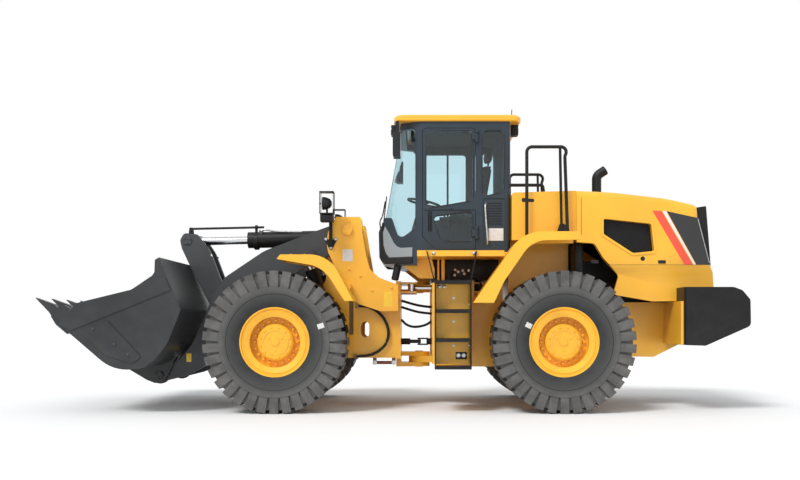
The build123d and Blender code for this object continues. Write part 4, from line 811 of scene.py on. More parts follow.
def smooth_solid(solid):
    """Shade a solid smooth between its corners, without moving its points."""
    for polygon in solid.data.polygons:
        polygon.use_smooth = True
    weld = solid.modifiers.new("weld", "WELD")
    weld.merge_threshold = WELD_GAP
    split = solid.modifiers.new("corners", "EDGE_SPLIT")
    split.split_angle = CORNER


curved = [solid for name, solid in frame["nodes"].items() if not name.startswith(FLAT_SHEETS)]
for solid in curved:
    smooth_solid(solid)
print("smoothed", len(curved), "solids")

# %% [markdown]
# ## More finishes for the small pieces
# Bright zinc on bolts, white paper plates, printed stripes, the grey moulding at the foot of the
# cab, lamp lenses and mirror glass. They use the same helper, with other numbers.

# %% Finishes for fittings, stripes, plates and lamps
FINISH.update({
    "zinc": finish("zinc plate", (0.62, 0.63, 0.62), rough=0.3, metal=0.9, fade=0.25, patch=30.0,
                   dust=0.1),
    "paper": finish("plate white", (0.74, 0.74, 0.73), rough=0.5, fade=0.12, patch=20.0, dust=0.02),
    "label": finish("label yellow", (0.95, 0.60, 0.03), rough=0.4, coat=0.3, fade=0.1, patch=20.0,
                    dust=0.1),
    "stripe_red": finish("stripe red", (0.90, 0.085, 0.035), rough=0.35, coat=0.4, fade=0.1,
                         dust=0.06),
    "stripe_white": finish("stripe white", (0.82, 0.82, 0.80), rough=0.35, coat=0.4, fade=0.08,
                           dust=0.06),
    "stripe_black": finish("panel black", (0.012, 0.012, 0.014), rough=0.22, coat=0.5, fade=0.3,
                           dust=0.04),
    "moulding": finish("grey moulding", (0.30, 0.335, 0.36), rough=0.42, coat=0.25, fade=0.10,
                       dust=0.08, skin=0.05),
    "rubber_seal": finish("rubber seal", (0.010, 0.010, 0.011), rough=0.6, fade=0.2, patch=20.0,
                          dust=0.05, skin=0.1),
    "lens": finish("lamp lens", (0.66, 0.69, 0.70), rough=0.10, metal=0.55, coat=1.0, fade=0.3,
                   patch=40.0, dust=0),
    "lens_red": finish("red lens", (0.62, 0.012, 0.010), rough=0.12, coat=1.0, fade=0.3, patch=60.0,
                       dust=0),
    "mirror": finish("mirror glass", (0.80, 0.84, 0.86), rough=0.03, metal=1.0, fade=0.05, patch=5.0,
                     dust=0, skin=0),
    "primer": finish("red primer", (0.20, 0.035, 0.018), rough=0.55, fade=0.25, patch=20.0, dust=0.2),
})
print(len(FINISH), "finishes")

# %% [markdown]
# ## Stripes on the hood
# A leaning red stripe, a thin white one and a bare black panel run down behind the mesh on both
# sides. They are films on the sheet, so each is a plate six tenths of a millimetre thick that lies
# on the side of the hood. Painting them into the material would leave their edges soft.

# %% Red and white stripes and the black panel
HOOD_SIDE = 950.0
FILM = 0.6
FILMS = [
    # name, finish, outline (x, z), films below it
    ("stripe_red", "stripe_red", [(-2670, 2290), (-2777, 2287), (-3136, 1672), (-3037, 1672)], 0),
    ("stripe_white", "stripe_white", [(-2786, 2287), (-2826, 2285), (-3166, 1672), (-3145, 1672)], 0),
    ("stripe_black", "stripe_black", [(-2834, 2285), (-3196, 2206), (-3330, 1672), (-3174, 1672)], 0),
    ("stripe_edge", "zinc", [(-3190, 2196), (-3197, 2198), (-3328, 1690), (-3321, 1690)], 1),
]
for name, slot, outline, below in FILMS:
    shape = bmesh.new()
    for side, sign in SIDES:
        slab(shape, outline, sign * (HOOD_SIDE + below * FILM), sign * FILM)
    keep(name, shape, slot, "rear_frame")
print("films", len(FILMS), "each", FILM, "mm thick")

# %% [markdown]
# ## Hood fittings
# Two hinges carry each side door of the hood, a sunk latch closes it, and a rubber strip seals its
# foot. They are small and black, and without them the side would read as one blank sheet.

# %% Latches, seams and hinges of the hood
HOOD_HINGES = (-2010, -2780)
LATCH_AT = (-2560, 1740)
LATCH_CUP = [(0, 26), (3, 26), (4, 22), (1.5, 20), (1.5, 0)]
SEAM_Y = 949.6


def hood_latch(shape, sign):
    """Two hinges with their pins, and a round sunk latch with its bar."""
    for x in HOOD_HINGES:
        block(shape, (x - 44, x + 44), on_side(sign, 948, 953), (1694, 1722))
        rod(shape, at(x - 40, sign * 955, 1690), at(x + 40, sign * 955, 1690), 7)
    x, z = LATCH_AT
    lathe(shape, at(x, sign * 949.5, z), (0, sign, 0), LATCH_CUP, 32)
    block(shape, (x - 12, x + 12), on_side(sign, 950, 954), (z - 6, z + 6))


def hood_seam(shape, sign):
    """The double seam before the side door, and the strip along the foot of the hood."""
    for x in (-1860, -1852):
        slab(shape, [(x, 2010), (x, 2440), (x - 3, 2440), (x - 3, 2010)], sign * SEAM_Y, sign * 0.9)
    foot = [(-2120, 1671), (-2120, 1668), (-3322, 1668), (-3322, 1671)]
    slab(shape, foot, sign * SEAM_Y, sign * 1.6)


paired("hood_latches", hood_latch, "plastic", "rear_frame", 1.2)
paired("hood_seams", hood_seam, "rubber_seal", "rear_frame")
print("added", len(ADDED))

# %% [markdown]
# ## Tail lamps
# A round red lens in a black ring stands on each end of the counterweight. Both are spun profiles,
# because a turned lens shows its dome at every angle.

# %% Lenses and rings of the tail lamps
TAIL_LAMP_Y = 1120.0
TAIL_LAMP_Z = 1180.0
TAIL_LENS = [(-4, 50), (8, 50), (16, 44), (18, 0)]
TAIL_RING = [(-2, 62), (9, 62), (12, 58), (12, 50), (2, 50)]
for name, profile, x, slot in (("tail_lamps", TAIL_LENS, -3694, "lens_red"),
                               ("tail_lamp_rings", TAIL_RING, -3690, "plastic")):
    shape = bmesh.new()
    for side, sign in SIDES:
        lathe(shape, at(x, sign * TAIL_LAMP_Y, TAIL_LAMP_Z), (-1, 0, 0), profile, 32)
    keep(name, shape, slot, "rear_frame")
print("tail lamps at", TAIL_LAMP_Z, "mm")

# %% [markdown]
# ## Head lamps in their guards
# Each head lamp is a round lamp in an open guard of folded strip, on a post that is bolted to the
# tower by a foot shaped like a V. The solid holds only its outer form, so the whole lamp is made
# again here, inside the same box.

# %% Guards, posts and feet of the head lamps
TOWER_FACE = 598.0
GUARD_X = (985, 1150)
GUARD_Y = (768, 932)
GUARD_Z = (2262, 2518)
STRIP = 8
STRIP_WIDE = 16
STRIP_BAR = (2380, 2388)
GUARD_BOX_X = (995, 1140)
GUARD_BOX_Z = (2172, 2262)
POST_X = (1026, 1066)
POST_Y = (TOWER_FACE + 4, TOWER_FACE + 38)
POST_Z = (1900, 2262)
SHELF_X = (1000, 1120)
SHELF_Z = (2240, 2256)
FOOT = [(1120, 2005), (1105, 2015), (1066, 1985), (1026, 1985), (987, 2015), (972, 2005), (972, 1985),
        (1032, 1872), (1060, 1872), (1120, 1985)]
FOOT_THICK = 10


def lamp_guard(shape, sign):
    """The open guard of strip, the box under it, the post and its foot."""
    low, high = on_side(sign, *GUARD_Y)
    back, front = GUARD_X
    foot, top = GUARD_Z
    for z in (foot, top - STRIP):
        block(shape, GUARD_X, (low, high), (z, z + STRIP))
    for x in (front - STRIP, back):
        for y in (low, high - STRIP_WIDE):
            block(shape, (x, x + STRIP), (y, y + STRIP_WIDE), (foot + STRIP, top - STRIP))
    block(shape, (front - STRIP, front), (low + STRIP_WIDE, high - STRIP_WIDE), STRIP_BAR)
    block(shape, GUARD_BOX_X, (low, high), GUARD_BOX_Z)
    post = on_side(sign, *POST_Y)
    block(shape, POST_X, post, POST_Z)
    block(shape, SHELF_X, (min(post[0], low), max(post[1], high)), SHELF_Z)
    slab(shape, FOOT, sign * TOWER_FACE, sign * FOOT_THICK)


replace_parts(paired("lamp_guards", lamp_guard, "black_paint", "front_frame", 1.5), "head_lamps")
print("guards", GUARD_X, GUARD_Y, GUARD_Z)

# %% [markdown]
# ## The lamps themselves
# A head lamp is a spun shell with a domed lens in it, on a short stalk. Three plated bolts hold the
# foot of its post. The lens is a bright, half metallic finish rather than true glass, because an
# unlit lamp mostly shows its reflector.

# %% Lamp shells, lenses and foot bolts
LAMP_X = 1072.0
LAMP_Y = 850.0
LAMP_Z = 2385.0
LAMP_SHELL = [(-58, 0), (-58, 26), (-40, 52), (0, 70), (30, 74), (44, 76), (50, 72), (44, 66), (36, 66)]
LAMP_LENS = [(0, 67), (6, 62), (12, 44), (15, 20), (16, 0)]
FOOT_BOLTS = ((1104, 1994), (988, 1994), (1046, 1892))


def lamp_shell(shape, sign):
    """The round shell of a lamp, and the stalk that it stands on."""
    lathe(shape, at(LAMP_X, sign * LAMP_Y, LAMP_Z), (1, 0, 0), LAMP_SHELL, 36)
    stalk_x = LAMP_X - 4
    rod(shape, at(stalk_x, sign * LAMP_Y, GUARD_Z[0]), at(stalk_x, sign * LAMP_Y, LAMP_Z - 55), 12)


def lamp_lens(shape, sign):
    """The domed glass of a lamp."""
    lathe(shape, at(LAMP_X + 36, sign * LAMP_Y, LAMP_Z), (1, 0, 0), LAMP_LENS, 36)


def lamp_bolt(shape, sign):
    """The three bolts of a foot."""
    for x, z in FOOT_BOLTS:
        bolt(shape, at(x, sign * (TOWER_FACE + FOOT_THICK), z), (0, sign, 0), 22, 10)


paired("lamp_shells", lamp_shell, "plastic", "front_frame")
paired("lamp_lenses", lamp_lens, "lens", "front_frame")
paired("lamp_bolts", lamp_bolt, "zinc", "front_frame")
print("head lamps at", LAMP_X, LAMP_Y, LAMP_Z)

# %% [markdown]
# ## Blank plates and labels
# Such a machine carries a few plates and labels. They are left blank, and each is a thin sheet on
# the face below it, so that its edge catches the light as a real one does.

# %% Plates of the tower and the boom
PLATES = [
    # name, limits in x, limits in z, y of the face below, thickness, slot, body
    ("tower_plate", (790, 906), (1734, 1875), TOWER_FACE, 1.5, "paper", "front_frame"),
    ("tower_label", (321, 418), (1198, 1371), TOWER_FACE, 0.8, "label", "front_frame"),
    ("boom_label", (2711, 2770), (640, 540), 542.0, 0.8, "label", "boom"),
]


def blank_plate(name, ends, levels, y, thick, slot, body):
    """A blank sheet on a face that looks to the left."""
    (back, front), (foot, top) = ends, levels
    shape = bmesh.new()
    slab(shape, [(back, foot), (back, top), (front, top), (front, foot)], y, thick)
    keep(name, shape, slot, body)


for row in PLATES:
    blank_plate(*row)
print("plates", len(PLATES))

# %% [markdown]
# ## Bolts and unions of the front half
# Bolts hold the fender's bracket to the tower, and the hoses of the lift cylinders end in plated
# unions. A red primed bar locks the hinge for transport, on two pins with round heads.

# %% Tower bolts, hose unions and lock bar
TOWER_BOLTS = ((830, 1640), (700, 1560), (560, 1390), (330, 1420), (800, 1430))
FENDER_BOLTS = [(x, y) for y in (900, 1280) for x in (1274, 1427)]
FENDER_TOP = 1757
HOSE_Y = 490.0
UNION = [(-34, 20), (-30, 24), (-12, 24), (-8, 20), (14, 20), (16, 25), (34, 25), (36, 18)]
UNION_ENDS = ((735, 1210, (-0.45, 0, 1)), (760, 599, (-0.4, 0, -1)))
LOCK_PINS = (534, 306)
LOCK_PIN_Z = 562
LOCK_HEAD_Z = 528
PIN_HEAD = [(0, 26), (8, 26), (8, 0)]


def tower_bolt(shape, sign):
    """The bolts of a tower and of the fender that it carries."""
    for x, z in TOWER_BOLTS:
        bolt(shape, at(x, sign * TOWER_FACE, z), (0, sign, 0), 26, 12)
    for x, y in FENDER_BOLTS:
        bolt(shape, at(x, sign * y, FENDER_TOP), (0, 0, 1), 22, 9)
    bolt(shape, at(837, sign * TOWER_FACE, 2215), (0, sign, 0), 30, 12)


def hose_union(shape, sign):
    """The plated unions at both ends of a lift hose."""
    for x, z, axis in UNION_ENDS:
        lathe(shape, at(x, sign * HOSE_Y, z), axis, UNION, 6)


paired("tower_bolts", tower_bolt, "body_paint", "front_frame")
paired("hose_unions", hose_union, "zinc", "front_frame")
shape = bmesh.new()
for x in LOCK_PINS:
    rod(shape, at(x, 412, LOCK_PIN_Z), at(x, 448, LOCK_PIN_Z), 20)
    lathe(shape, at(x, 450, LOCK_HEAD_Z), (0, 1, 0), PIN_HEAD, 24)
keep("lock_bar_pins", shape, "zinc", "front_frame", 1.0)
dress("lock_bar", FINISH["primer"])
print("added", len(ADDED))

# %% [markdown]
# ## Hoses
# A hose, a bent rail or a pipe is one round section along one smooth curve. A curve object would do,
# but sweeping the section in mesh code keeps its points where they are put, and needs no later step
# to make it a mesh.

# %% Spline and sweep


def spline(points, parts):
    """A smooth path through points (x, y, z), with its end tangents along its end runs."""
    first, second, *_ = points
    *_, before, last = points
    spots = [at(*first) * 2 - at(*second), *[at(*p) for p in points], at(*last) * 2 - at(*before)]
    path = []
    for a, b, c, d in zip(spots, spots[1:], spots[2:], spots[3:]):
        for part in range(parts):
            t = part / parts
            path.append(0.5 * (2 * b + (c - a) * t + (2 * a - 5 * b + 4 * c - d) * t * t
                               + (3 * b - a - 3 * c + d) * t * t * t))
    return [*path, spots[-2]]


def swept(shape, points, radius, steps=12, parts=10):
    """Sweep a round section along a smooth path through points."""
    path = spline(points, parts)
    turns = [step * math.tau / steps for step in range(steps)]
    rings = []
    for n, middle in enumerate(path):
        along = path[min(n + 1, len(path) - 1)] - path[max(n - 1, 0)]
        side, up = square_to(along)
        rings.append([shape.verts.new(middle + (side * math.cos(a) + up * math.sin(a)) * radius * MM)
                      for a in turns])
    for low, high in zip(rings, rings[1:]):
        for n in range(steps):
            m = (n + 1) % steps
            shape.faces.new((low[n], low[m], high[m], high[n]))
    shape.faces.new(rings[0])
    shape.faces.new(list(reversed(rings[-1])))


def run_length(points):
    """The length in metres of a smooth path through points."""
    path = spline(points, 10)
    return sum((b - a).length for a, b in zip(path, path[1:]))


print("a straight run of a metre measures", round(run_length([(0, 0, 0), (500, 0, 0), (1000, 0, 0)]), 3))

# %% [markdown]
# ## Hoses of the lift cylinders and across the hinge
# Oil reaches the lift cylinders and the front half through hoses, which run between the same ends as
# the plain ones in the solids. The four that cross the hinge are one piece, which rides on neither
# half of the machine.

# %% Lift hoses and hinge hoses
LIFT_HOSE = [(735, 1210), (587, 1188), (440, 1080), (370, 912), (405, 745), (557, 630), (760, 599)]
LIFT_HOSE_RADIUS = 17
HOSE_RUNS = [
    [(-190, -150, 1197), (16, -150, 1226), (222, -150, 1283)],
    [(-190, -90, 1197), (16, -90, 1226), (222, -90, 1283)],
    [(-190, 90, 1115), (16, 90, 1140), (222, 90, 1200)],
    [(-190, 150, 1060), (-90, 150, 985), (46, 150, 955), (150, 150, 980), (222, 150, 1045)],
]
HOSE_RADIUS = 15


def lift_hose(shape, sign):
    """The hose of a lift cylinder, on the inner plate of the front frame."""
    swept(shape, [(x, sign * HOSE_Y, z) for x, z in LIFT_HOSE], LIFT_HOSE_RADIUS)


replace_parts(paired("lift_hoses", lift_hose, "hose", "front_frame"), "frame_hoses")
shape = bmesh.new()
for run in HOSE_RUNS:
    swept(shape, run, HOSE_RADIUS)
made = keep("centre_hoses", shape, "hose")
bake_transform(made)
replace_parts(made, "hoses")
for name in ("drive_shaft_front", "drive_shaft_rear", "tilt_gauge"):
    dress(name, FINISH["black_paint"])
print("hinge hoses", [round(run_length(run), 2) for run in HOSE_RUNS], "m")
print("lift hoses", round(run_length([(x, HOSE_Y, z) for x, z in LIFT_HOSE]), 2), "m each")

# %% [markdown]
# ## Rod eyes
# Only the polished length of a cylinder's rod is chromed. The forged eye at its end is painted, so
# the faces near the pin take the paint of the arm instead.

# %% Paint on the rod eyes
EYE_REACH = 112.0
RODS = (("lift_left_rod", LIFT_PIN), ("lift_right_rod", LIFT_PIN), ("tilt_rod", ROD_PIN))


def painted_eye(name, pin):
    """Give the faces of a rod that lie near a pin the paint of the arm, and count them."""
    solid = frame["nodes"][name]
    solid.data.materials.append(FINISH["boom_paint"])
    middle = at(pin[0], 0, pin[1])
    painted = 0
    for polygon in solid.data.polygons:
        gap = polygon.center - middle
        if math.hypot(gap.x, gap.z) < EYE_REACH * MM:
            polygon.material_index = 1
            painted += 1
    return painted


for name, pin in RODS:
    print(name, "painted faces", painted_eye(name, pin))

# %% [markdown]
# ## The foot of the cab
# The foot of the cab's bowed corner is a grey moulding with a black lip. It follows the plan of the
# corner, so its plate is drawn in side view and pushed out onto the leaning wall. Drawing it in the
# plan of the wall instead would make its outline hard to judge.

# %% Grey moulding and lip on the bowed corners
CORNER_FROM = Vector((71.0, 758.0))
CORNER_TO = Vector((452.0, 524.0))
MOULDING_THICK = 24
MOULDING = [(78, 1776), (352, 1776), (392, 1830), (420, 1920), (428, 2075), (405, 2150), (352, 2060),
            (300, 1950), (262, 1905), (215, 1885), (78, 1885)]
LIP = [(78, 1702), (405, 1702), (448, 1745), (450, 2100), (434, 2200), (424, 2170), (428, 2075),
       (420, 1920), (392, 1830), (352, 1776), (78, 1776)]


def on_corner(shape, outline, proud, sign):
    """A plate on the leaning wall of the cab's corner, from an outline in side view."""
    along = CORNER_TO - CORNER_FROM
    out = Vector((-along.y, along.x)).normalized()
    rings = []
    for level in (proud - MOULDING_THICK, proud):
        ring = []
        for x, z in outline:
            spot = CORNER_FROM + along * ((x - CORNER_FROM.x) / along.x) + out * level
            ring.append(shape.verts.new(at(spot.x, sign * spot.y, z)))
        rings.append(ring)
    close_rings(shape, rings)


FOOT_TRIM = [
    # name, outline, how proud of the wall, finish
    ("cab_moulding", MOULDING, 12, "moulding"),
    ("cab_lip", LIP, 17, "plastic"),
]
for name, outline, proud, slot in FOOT_TRIM:
    shape = bmesh.new()
    for side, sign in SIDES:
        on_corner(shape, outline, proud, sign)
    keep(name, shape, slot, "rear_frame", 5.0, 20.0)
print("moulding", MOULDING_THICK, "mm thick")

# %% [markdown]
# ## Seals round the glass
# A pane sits in a rubber strip, which shows as a thin dark line round each window. Four short slabs
# along the sides of a window are enough, as its corners are round and the strips stop before them.

# %% Seals of the door and the cab
SEAL_WIDE = 13.0
SEAL_THICK = 5.0
SEAL_TRIM = 34
DOOR_Y = 803.5
CAB_Y = 799.5
UPPER_PANE = [(-84, 3230), (-619, 3230), (-619, 2429), (-84, 2338)]
LOWER_PANE = [(-162, 2238), (-619, 2300), (-619, 1955), (-260, 1955)]
REAR_PANE = [(-738, 3236), (-984, 3236), (-984, 2533), (-738, 2476)]
RIGHT_BAR = ((-392, -366), (-782, -762), (2360, 3240))


def middle_of(outline):
    """The middle of an outline's points."""
    return sum((Vector(point) for point in outline), Vector((0, 0))) / len(outline)


def seal(shape, outline, y, sign):
    """A rubber seal round a window: a thin strip that lies along its edge."""
    middle = middle_of(outline)
    for start, end in zip(outline, outline[1:] + outline[:1]):
        a, b = Vector(start), Vector(end)
        run = (b - a).normalized()
        across = Vector((-run.y, run.x))
        if (middle - a).dot(across) < 0:
            across = -across
        a, b = a + run * SEAL_TRIM, b - run * SEAL_TRIM
        strip = [a, b, b - across * SEAL_WIDE, a - across * SEAL_WIDE]
        slab(shape, [(p.x, p.y) for p in strip], sign * y, sign * SEAL_THICK)


shape = bmesh.new()
for pane in (UPPER_PANE, LOWER_PANE):
    seal(shape, pane, DOOR_Y, 1)
keep("door_seals", shape, "rubber_seal", "cab_door", 1.5)
shape = bmesh.new()
for pane, sign in ((REAR_PANE, 1), (REAR_PANE, -1), (UPPER_PANE, -1)):
    seal(shape, pane, CAB_Y, sign)
block(shape, *RIGHT_BAR)
keep("cab_seals", shape, "rubber_seal", "rear_frame", 1.5)
print("added", len(ADDED))

# %% [markdown]
# ## Door fittings and grab rails
# The door has a joint between its panes and an upright handle with a lock. Behind it stand a bent
# grab rail and the louvres of the air intake, and the same two are on the cab's other side. A blank
# plate stands under the left louvres. What is on the door rides on it, and the rest stays on the
# cab, so that the door takes only its own with it.

# %% Door joint, door handle, grab rails, plate and louvres
HANDLE_X = -122
HANDLE_Y = 800
HANDLE_ENDS = ((2268, 2262), (2092, 2098))
DOOR_LOCK = (-128, 786, 2240)
DOOR_JOINT = ((-640, -60), (803, 808), (2308, 2322))
JOINT_KNOB = (-372, 806, 2322)
GRAB_RAIL = [(-772, 800, 2392), (-764, 828, 2340), (-776, 834, 2150), (-790, 828, 1960), (-790, 800, 1912)]
CAB_PLATE = ("cab_plate", (-806, -978), (1960, 2104), 788.2, 1.5, "paper", "rear_frame")
LOUVRES = 9
LOUVRE_PITCH = 30


def grab_rail(shape, sign):
    """A bent rail behind the door."""
    swept(shape, [(x, sign * y, z) for x, y, z in GRAB_RAIL], 11)


def louvre_row(shape, sign):
    """The louvres of the air intake, low beside the door."""
    for n in range(LOUVRES):
        low = 2150 + n * LOUVRE_PITCH
        block(shape, (-960, -790), on_side(sign, 788, 794), (low, low + 12))


shape = bmesh.new()
block(shape, *DOOR_JOINT)
button(shape, at(*JOINT_KNOB), (0, 1, 0), 15, 7)
keep("door_joint", shape, "plastic", "cab_door", 1.0)
shape = bmesh.new()
rod(shape, *[at(HANDLE_X, HANDLE_Y, end) for end, foot in HANDLE_ENDS], 11)
for end, foot in HANDLE_ENDS:
    rod(shape, at(HANDLE_X, HANDLE_Y - 24, foot), at(HANDLE_X, HANDLE_Y + 2, foot), 9)
button(shape, at(*DOOR_LOCK), (0, 1, 0), 13, 12)
keep("door_handle", shape, "plastic", "cab_door")
paired("grab_rails", grab_rail, "zinc", "rear_frame")
blank_plate(*CAB_PLATE)
paired("vent_louvres", louvre_row, "plastic", "rear_frame", 1.5)
print("added", len(ADDED))

# %% [markdown]
# ## On the roof and the windscreen
# A wiper rests on the curved screen, four eyes let a crane lift the cab, and a short aerial stands
# at the back. Each eye is a bent rod, so it is swept round a circle.

# %% Wiper, lifting eyes and aerial
WIPER_ARM = [(470, 60, 2130), (486, 90, 2250), (452, 120, 2330), (418, 150, 2500)]
WIPER_BLADE = ((448, 120, 2160), (400, 170, 2560))
WIPER_HUB = (470, 60, 2118)
ROOF_TOP = 3420
EYE_X = (5, -1055)
EYE_Y = 560
EYE_RADIUS = 24
EYE_STEPS = 12
AERIAL = ((-1085, 640, 3418), (-1092, 640, 3520))
AERIAL_FOOT = [(0, 20), (8, 18), (16, 10), (16, 0)]


def roof_eye(shape, sign):
    """The front and the rear lifting eye of one side, each on its round plate."""
    for x in EYE_X:
        button(shape, at(x, sign * EYE_Y, ROOF_TOP), (0, 0, 1), 26, 8, (2, 4))
        turns = [math.tau * n / EYE_STEPS for n in range(-1, EYE_STEPS + 1)]
        middle_z = ROOF_TOP + EYE_RADIUS
        loop = [(x + EYE_RADIUS * math.cos(a), sign * EYE_Y, middle_z + EYE_RADIUS * math.sin(a))
                for a in turns]
        swept(shape, loop, 7, 10, 3)


shape = bmesh.new()
swept(shape, WIPER_ARM, 8)
rod(shape, *[at(*end) for end in WIPER_BLADE], 7)
button(shape, at(*WIPER_HUB), (0.4, 0, 1), 22, 26, (6, 6))
keep("wiper", shape, "plastic", "rear_frame")
paired("roof_eyes", roof_eye, "black_paint", "rear_frame")
shape = bmesh.new()
rod(shape, *[at(*end) for end in AERIAL], 5)
lathe(shape, at(-1085, 640, 3419), (0, 0, 1), AERIAL_FOOT, 20)
keep("aerial", shape, "plastic", "rear_frame")
print("added", len(ADDED))

# %% [markdown]
# ## Work lamps and mirrors
# The work lamps under the roof have square bezels with cooling fins and a round lens. The mirrors
# are plain shells, so each gets a sheet of true mirror and a back with its clamp.

# %% Lenses, bezels, mirror glass and mirror backs
WORK_LAMPS = ((292, 1), (-1130, -1))
WORK_LAMP_Y = 540
WORK_LAMP_Z = 3285
WORK_LENS = [(0, 47), (4, 46), (9, 34), (11, 16), (12, 0)]
FINS = 5
MIRROR_CLAMP = [(-40, 22), (20, 22), (24, 18), (24, 0)]


def work_lens(shape, sign):
    """The round lenses of one side, to the front and to the rear."""
    for x, way in WORK_LAMPS:
        lathe(shape, at(x + way * 41, sign * WORK_LAMP_Y, WORK_LAMP_Z), (way, 0, 0), WORK_LENS, 32)


def around(middle, half):
    """The limits of a length about its middle."""
    return (middle - half, middle + half)


def work_bezel(shape, sign):
    """The square plate before a lamp and the cooling fins behind it."""
    for x, way in WORK_LAMPS:
        y = sign * WORK_LAMP_Y
        block(shape, between(x + way * 36, x + way * 42), around(y, 58), around(WORK_LAMP_Z, 56))
        for n in range(FINS):
            fin = x - way * (36 - n * 10)
            block(shape, between(fin, fin - way * 4), around(y, 63), around(WORK_LAMP_Z, 63))


def mirror_glass(shape, sign):
    """The sheet of mirror, which faces the driver."""
    block(shape, (212.5, 216), on_side(sign, 912, 1068), (2902, 3158))


def mirror_back(shape, sign):
    """The raised back of a mirror and the clamp on its arm."""
    block(shape, (292, 303), on_side(sign, 911, 1069), (2912, 3148))
    rod(shape, at(255, sign * 985, 3165), at(255, sign * 985, 3200), 16)
    lathe(shape, at(255, sign * 1000, 3185), (0, sign, 0), MIRROR_CLAMP, 20)


paired("work_lamp_lenses", work_lens, "lens", "rear_frame")
paired("work_lamp_bezels", work_bezel, "plastic", "rear_frame", 1.5)
paired("mirror_glass", mirror_glass, "mirror", "rear_frame", 1.0)
paired("mirror_backs", mirror_back, "plastic", "rear_frame", 6.0)
print("added", len(ADDED))

# %% [markdown]
# ## Cab inside
# Through the panes show a dark lining under the roof, the dashboard, and the levers on the driver's
# right. Plain blocks with eased edges are enough behind tinted glass.

# %% Lining, dashboard, console and levers
LINING = [
    # limits in x, y and z
    ((-985, 100), (-725, 725), (3322, 3344)),
    ((-1000, -985), (-735, 735), (2560, 3344)),
    ((-985, 30), (-730, 730), (1881, 1888)),
]
CONSOLE = [
    ((60, 320), (-420, 420), (1900, 1990)),
    ((-70, 10), (-110, 110), (2405, 2470)),
    ((-820, -260), (-470, -310), (2300, 2360)),
    ((-820, -300), (300, 380), (2330, 2375)),
]
LEVER_Y = -385
KNOB = [(0, 14), (12, 24), (34, 26), (50, 14), (52, 0)]
LEVERS = [
    # x of the foot, z of its top, z of the knob's foot
    (-330, 2450, 2440),
    (-420, 2440, 2430),
]
shape = bmesh.new()
for limits in LINING:
    block(shape, *limits)
keep("cab_lining", shape, "seat_cloth", "rear_frame", 3.0)
shape = bmesh.new()
for limits in CONSOLE:
    block(shape, *limits)
for x, top, knob in LEVERS:
    rod(shape, at(x, LEVER_Y, 2360), at(x + 12, LEVER_Y, top), 14)
    lathe(shape, at(x + 12, LEVER_Y, knob), (0.1, 0, 1), KNOB, 20)
keep("cab_console", shape, "plastic", "rear_frame", 6.0)
print("levers", len(LEVERS))

# %% [markdown]
# ## The padded seat
# The seat is the only padded thing on the machine: a cushion, a back and a headrest. Each pad is
# drawn from its outline in side view, a little small, and remeshed into an even net of small faces,
# so that it can swell alike everywhere. A bevelled block would look like a brick.

# %% First form of the pads
SEAT_AT = (-560.0, 2210.0)
VOXEL = 0.006
EDGE_SHRINK = 0.10
PAD_STEPS = 6
PADS = [
    # outline round the side of the pad, half width
    ([(-250, 12), (-250, 104), (0, 116), (196, 118), (228, 82), (210, 10)], 236.0),
    ([(-214, 118), (-318, 722), (-296, 742), (-236, 738), (-98, 150), (-110, 120)], 226.0),
    ([(-332, 792), (-338, 918), (-312, 926), (-268, 918), (-254, 792)], 118.0),
]


def pad_shape(outline, half):
    """A closed pad, crowned across its width, a little smaller than it will swell to."""
    shape = bmesh.new()
    middle = middle_of(outline)
    rings = []
    for n in range(PAD_STEPS + 1):
        share = -1 + 2 * n / PAD_STEPS
        shrink = 1 - EDGE_SHRINK * abs(share) ** 3
        spots = [middle + (Vector(point) - middle) * shrink for point in outline]
        rings.append([shape.verts.new(at(SEAT_AT[0] + spot.x, half * share, SEAT_AT[1] + spot.y))
                      for spot in spots])
    close_rings(shape, rings)
    return shape


def even_net(pad):
    """Give a pad an even net of small faces, which a cloth needs."""
    pad.data.remesh_voxel_size = VOXEL
    remesh = pad.modifiers.new("remesh", "REMESH")
    remesh.mode = "VOXEL"
    remesh.voxel_size = VOXEL
    graph = bpy.context.evaluated_depsgraph_get()
    pad.data = bpy.data.meshes.new_from_object(pad.evaluated_get(graph))
    pad.modifiers.clear()


print("pads", len(PADS), "net of", VOXEL / MM, "mm")

# %% [markdown]
# ## Filling the pads
# A cloth with air in it pulls its sides in between the corners, as a sewn cover does over foam. The
# simulation runs here for twenty steps and its last form is kept, with a cap on how far a point may
# move, which keeps the pads apart.

# %% Swelling, seat pads and seat frame
SWELL_CAP = 22.0
SWELL_STEPS = 20
AIR_PRESSURE = 4.0
STEM_Y = (-45, 45)
STEM = ((-858, 2925), (-862, 3020))
SEAT_PLATE = ((-790, -360), (-200, 200), (2206, 2222))
BACK_PLATE = [(-772, 2330), (-884, 2930), (-868, 2934), (-758, 2336)]
BACK_HALF = 150


def swell(pad):
    """Fill a pad with air as a cloth, and hold it near its first form."""
    start = [vertex.co.copy() for vertex in pad.data.vertices]
    cloth = pad.modifiers.new("cloth", "CLOTH")
    cloth.settings.use_pressure = True
    cloth.settings.uniform_pressure_force = AIR_PRESSURE
    cloth.settings.effector_weights.gravity = 0.0
    for step in range(1, SWELL_STEPS + 1):
        bpy.context.scene.frame_set(step)
    graph = bpy.context.evaluated_depsgraph_get()
    swollen = [vertex.co.copy() for vertex in pad.evaluated_get(graph).data.vertices]
    pad.modifiers.remove(cloth)
    bpy.context.scene.frame_set(1)
    limit = SWELL_CAP * MM
    for vertex, first, last in zip(pad.data.vertices, start, swollen):
        move = last - first
        vertex.co = first + (move if move.length < limit else move.normalized() * limit)


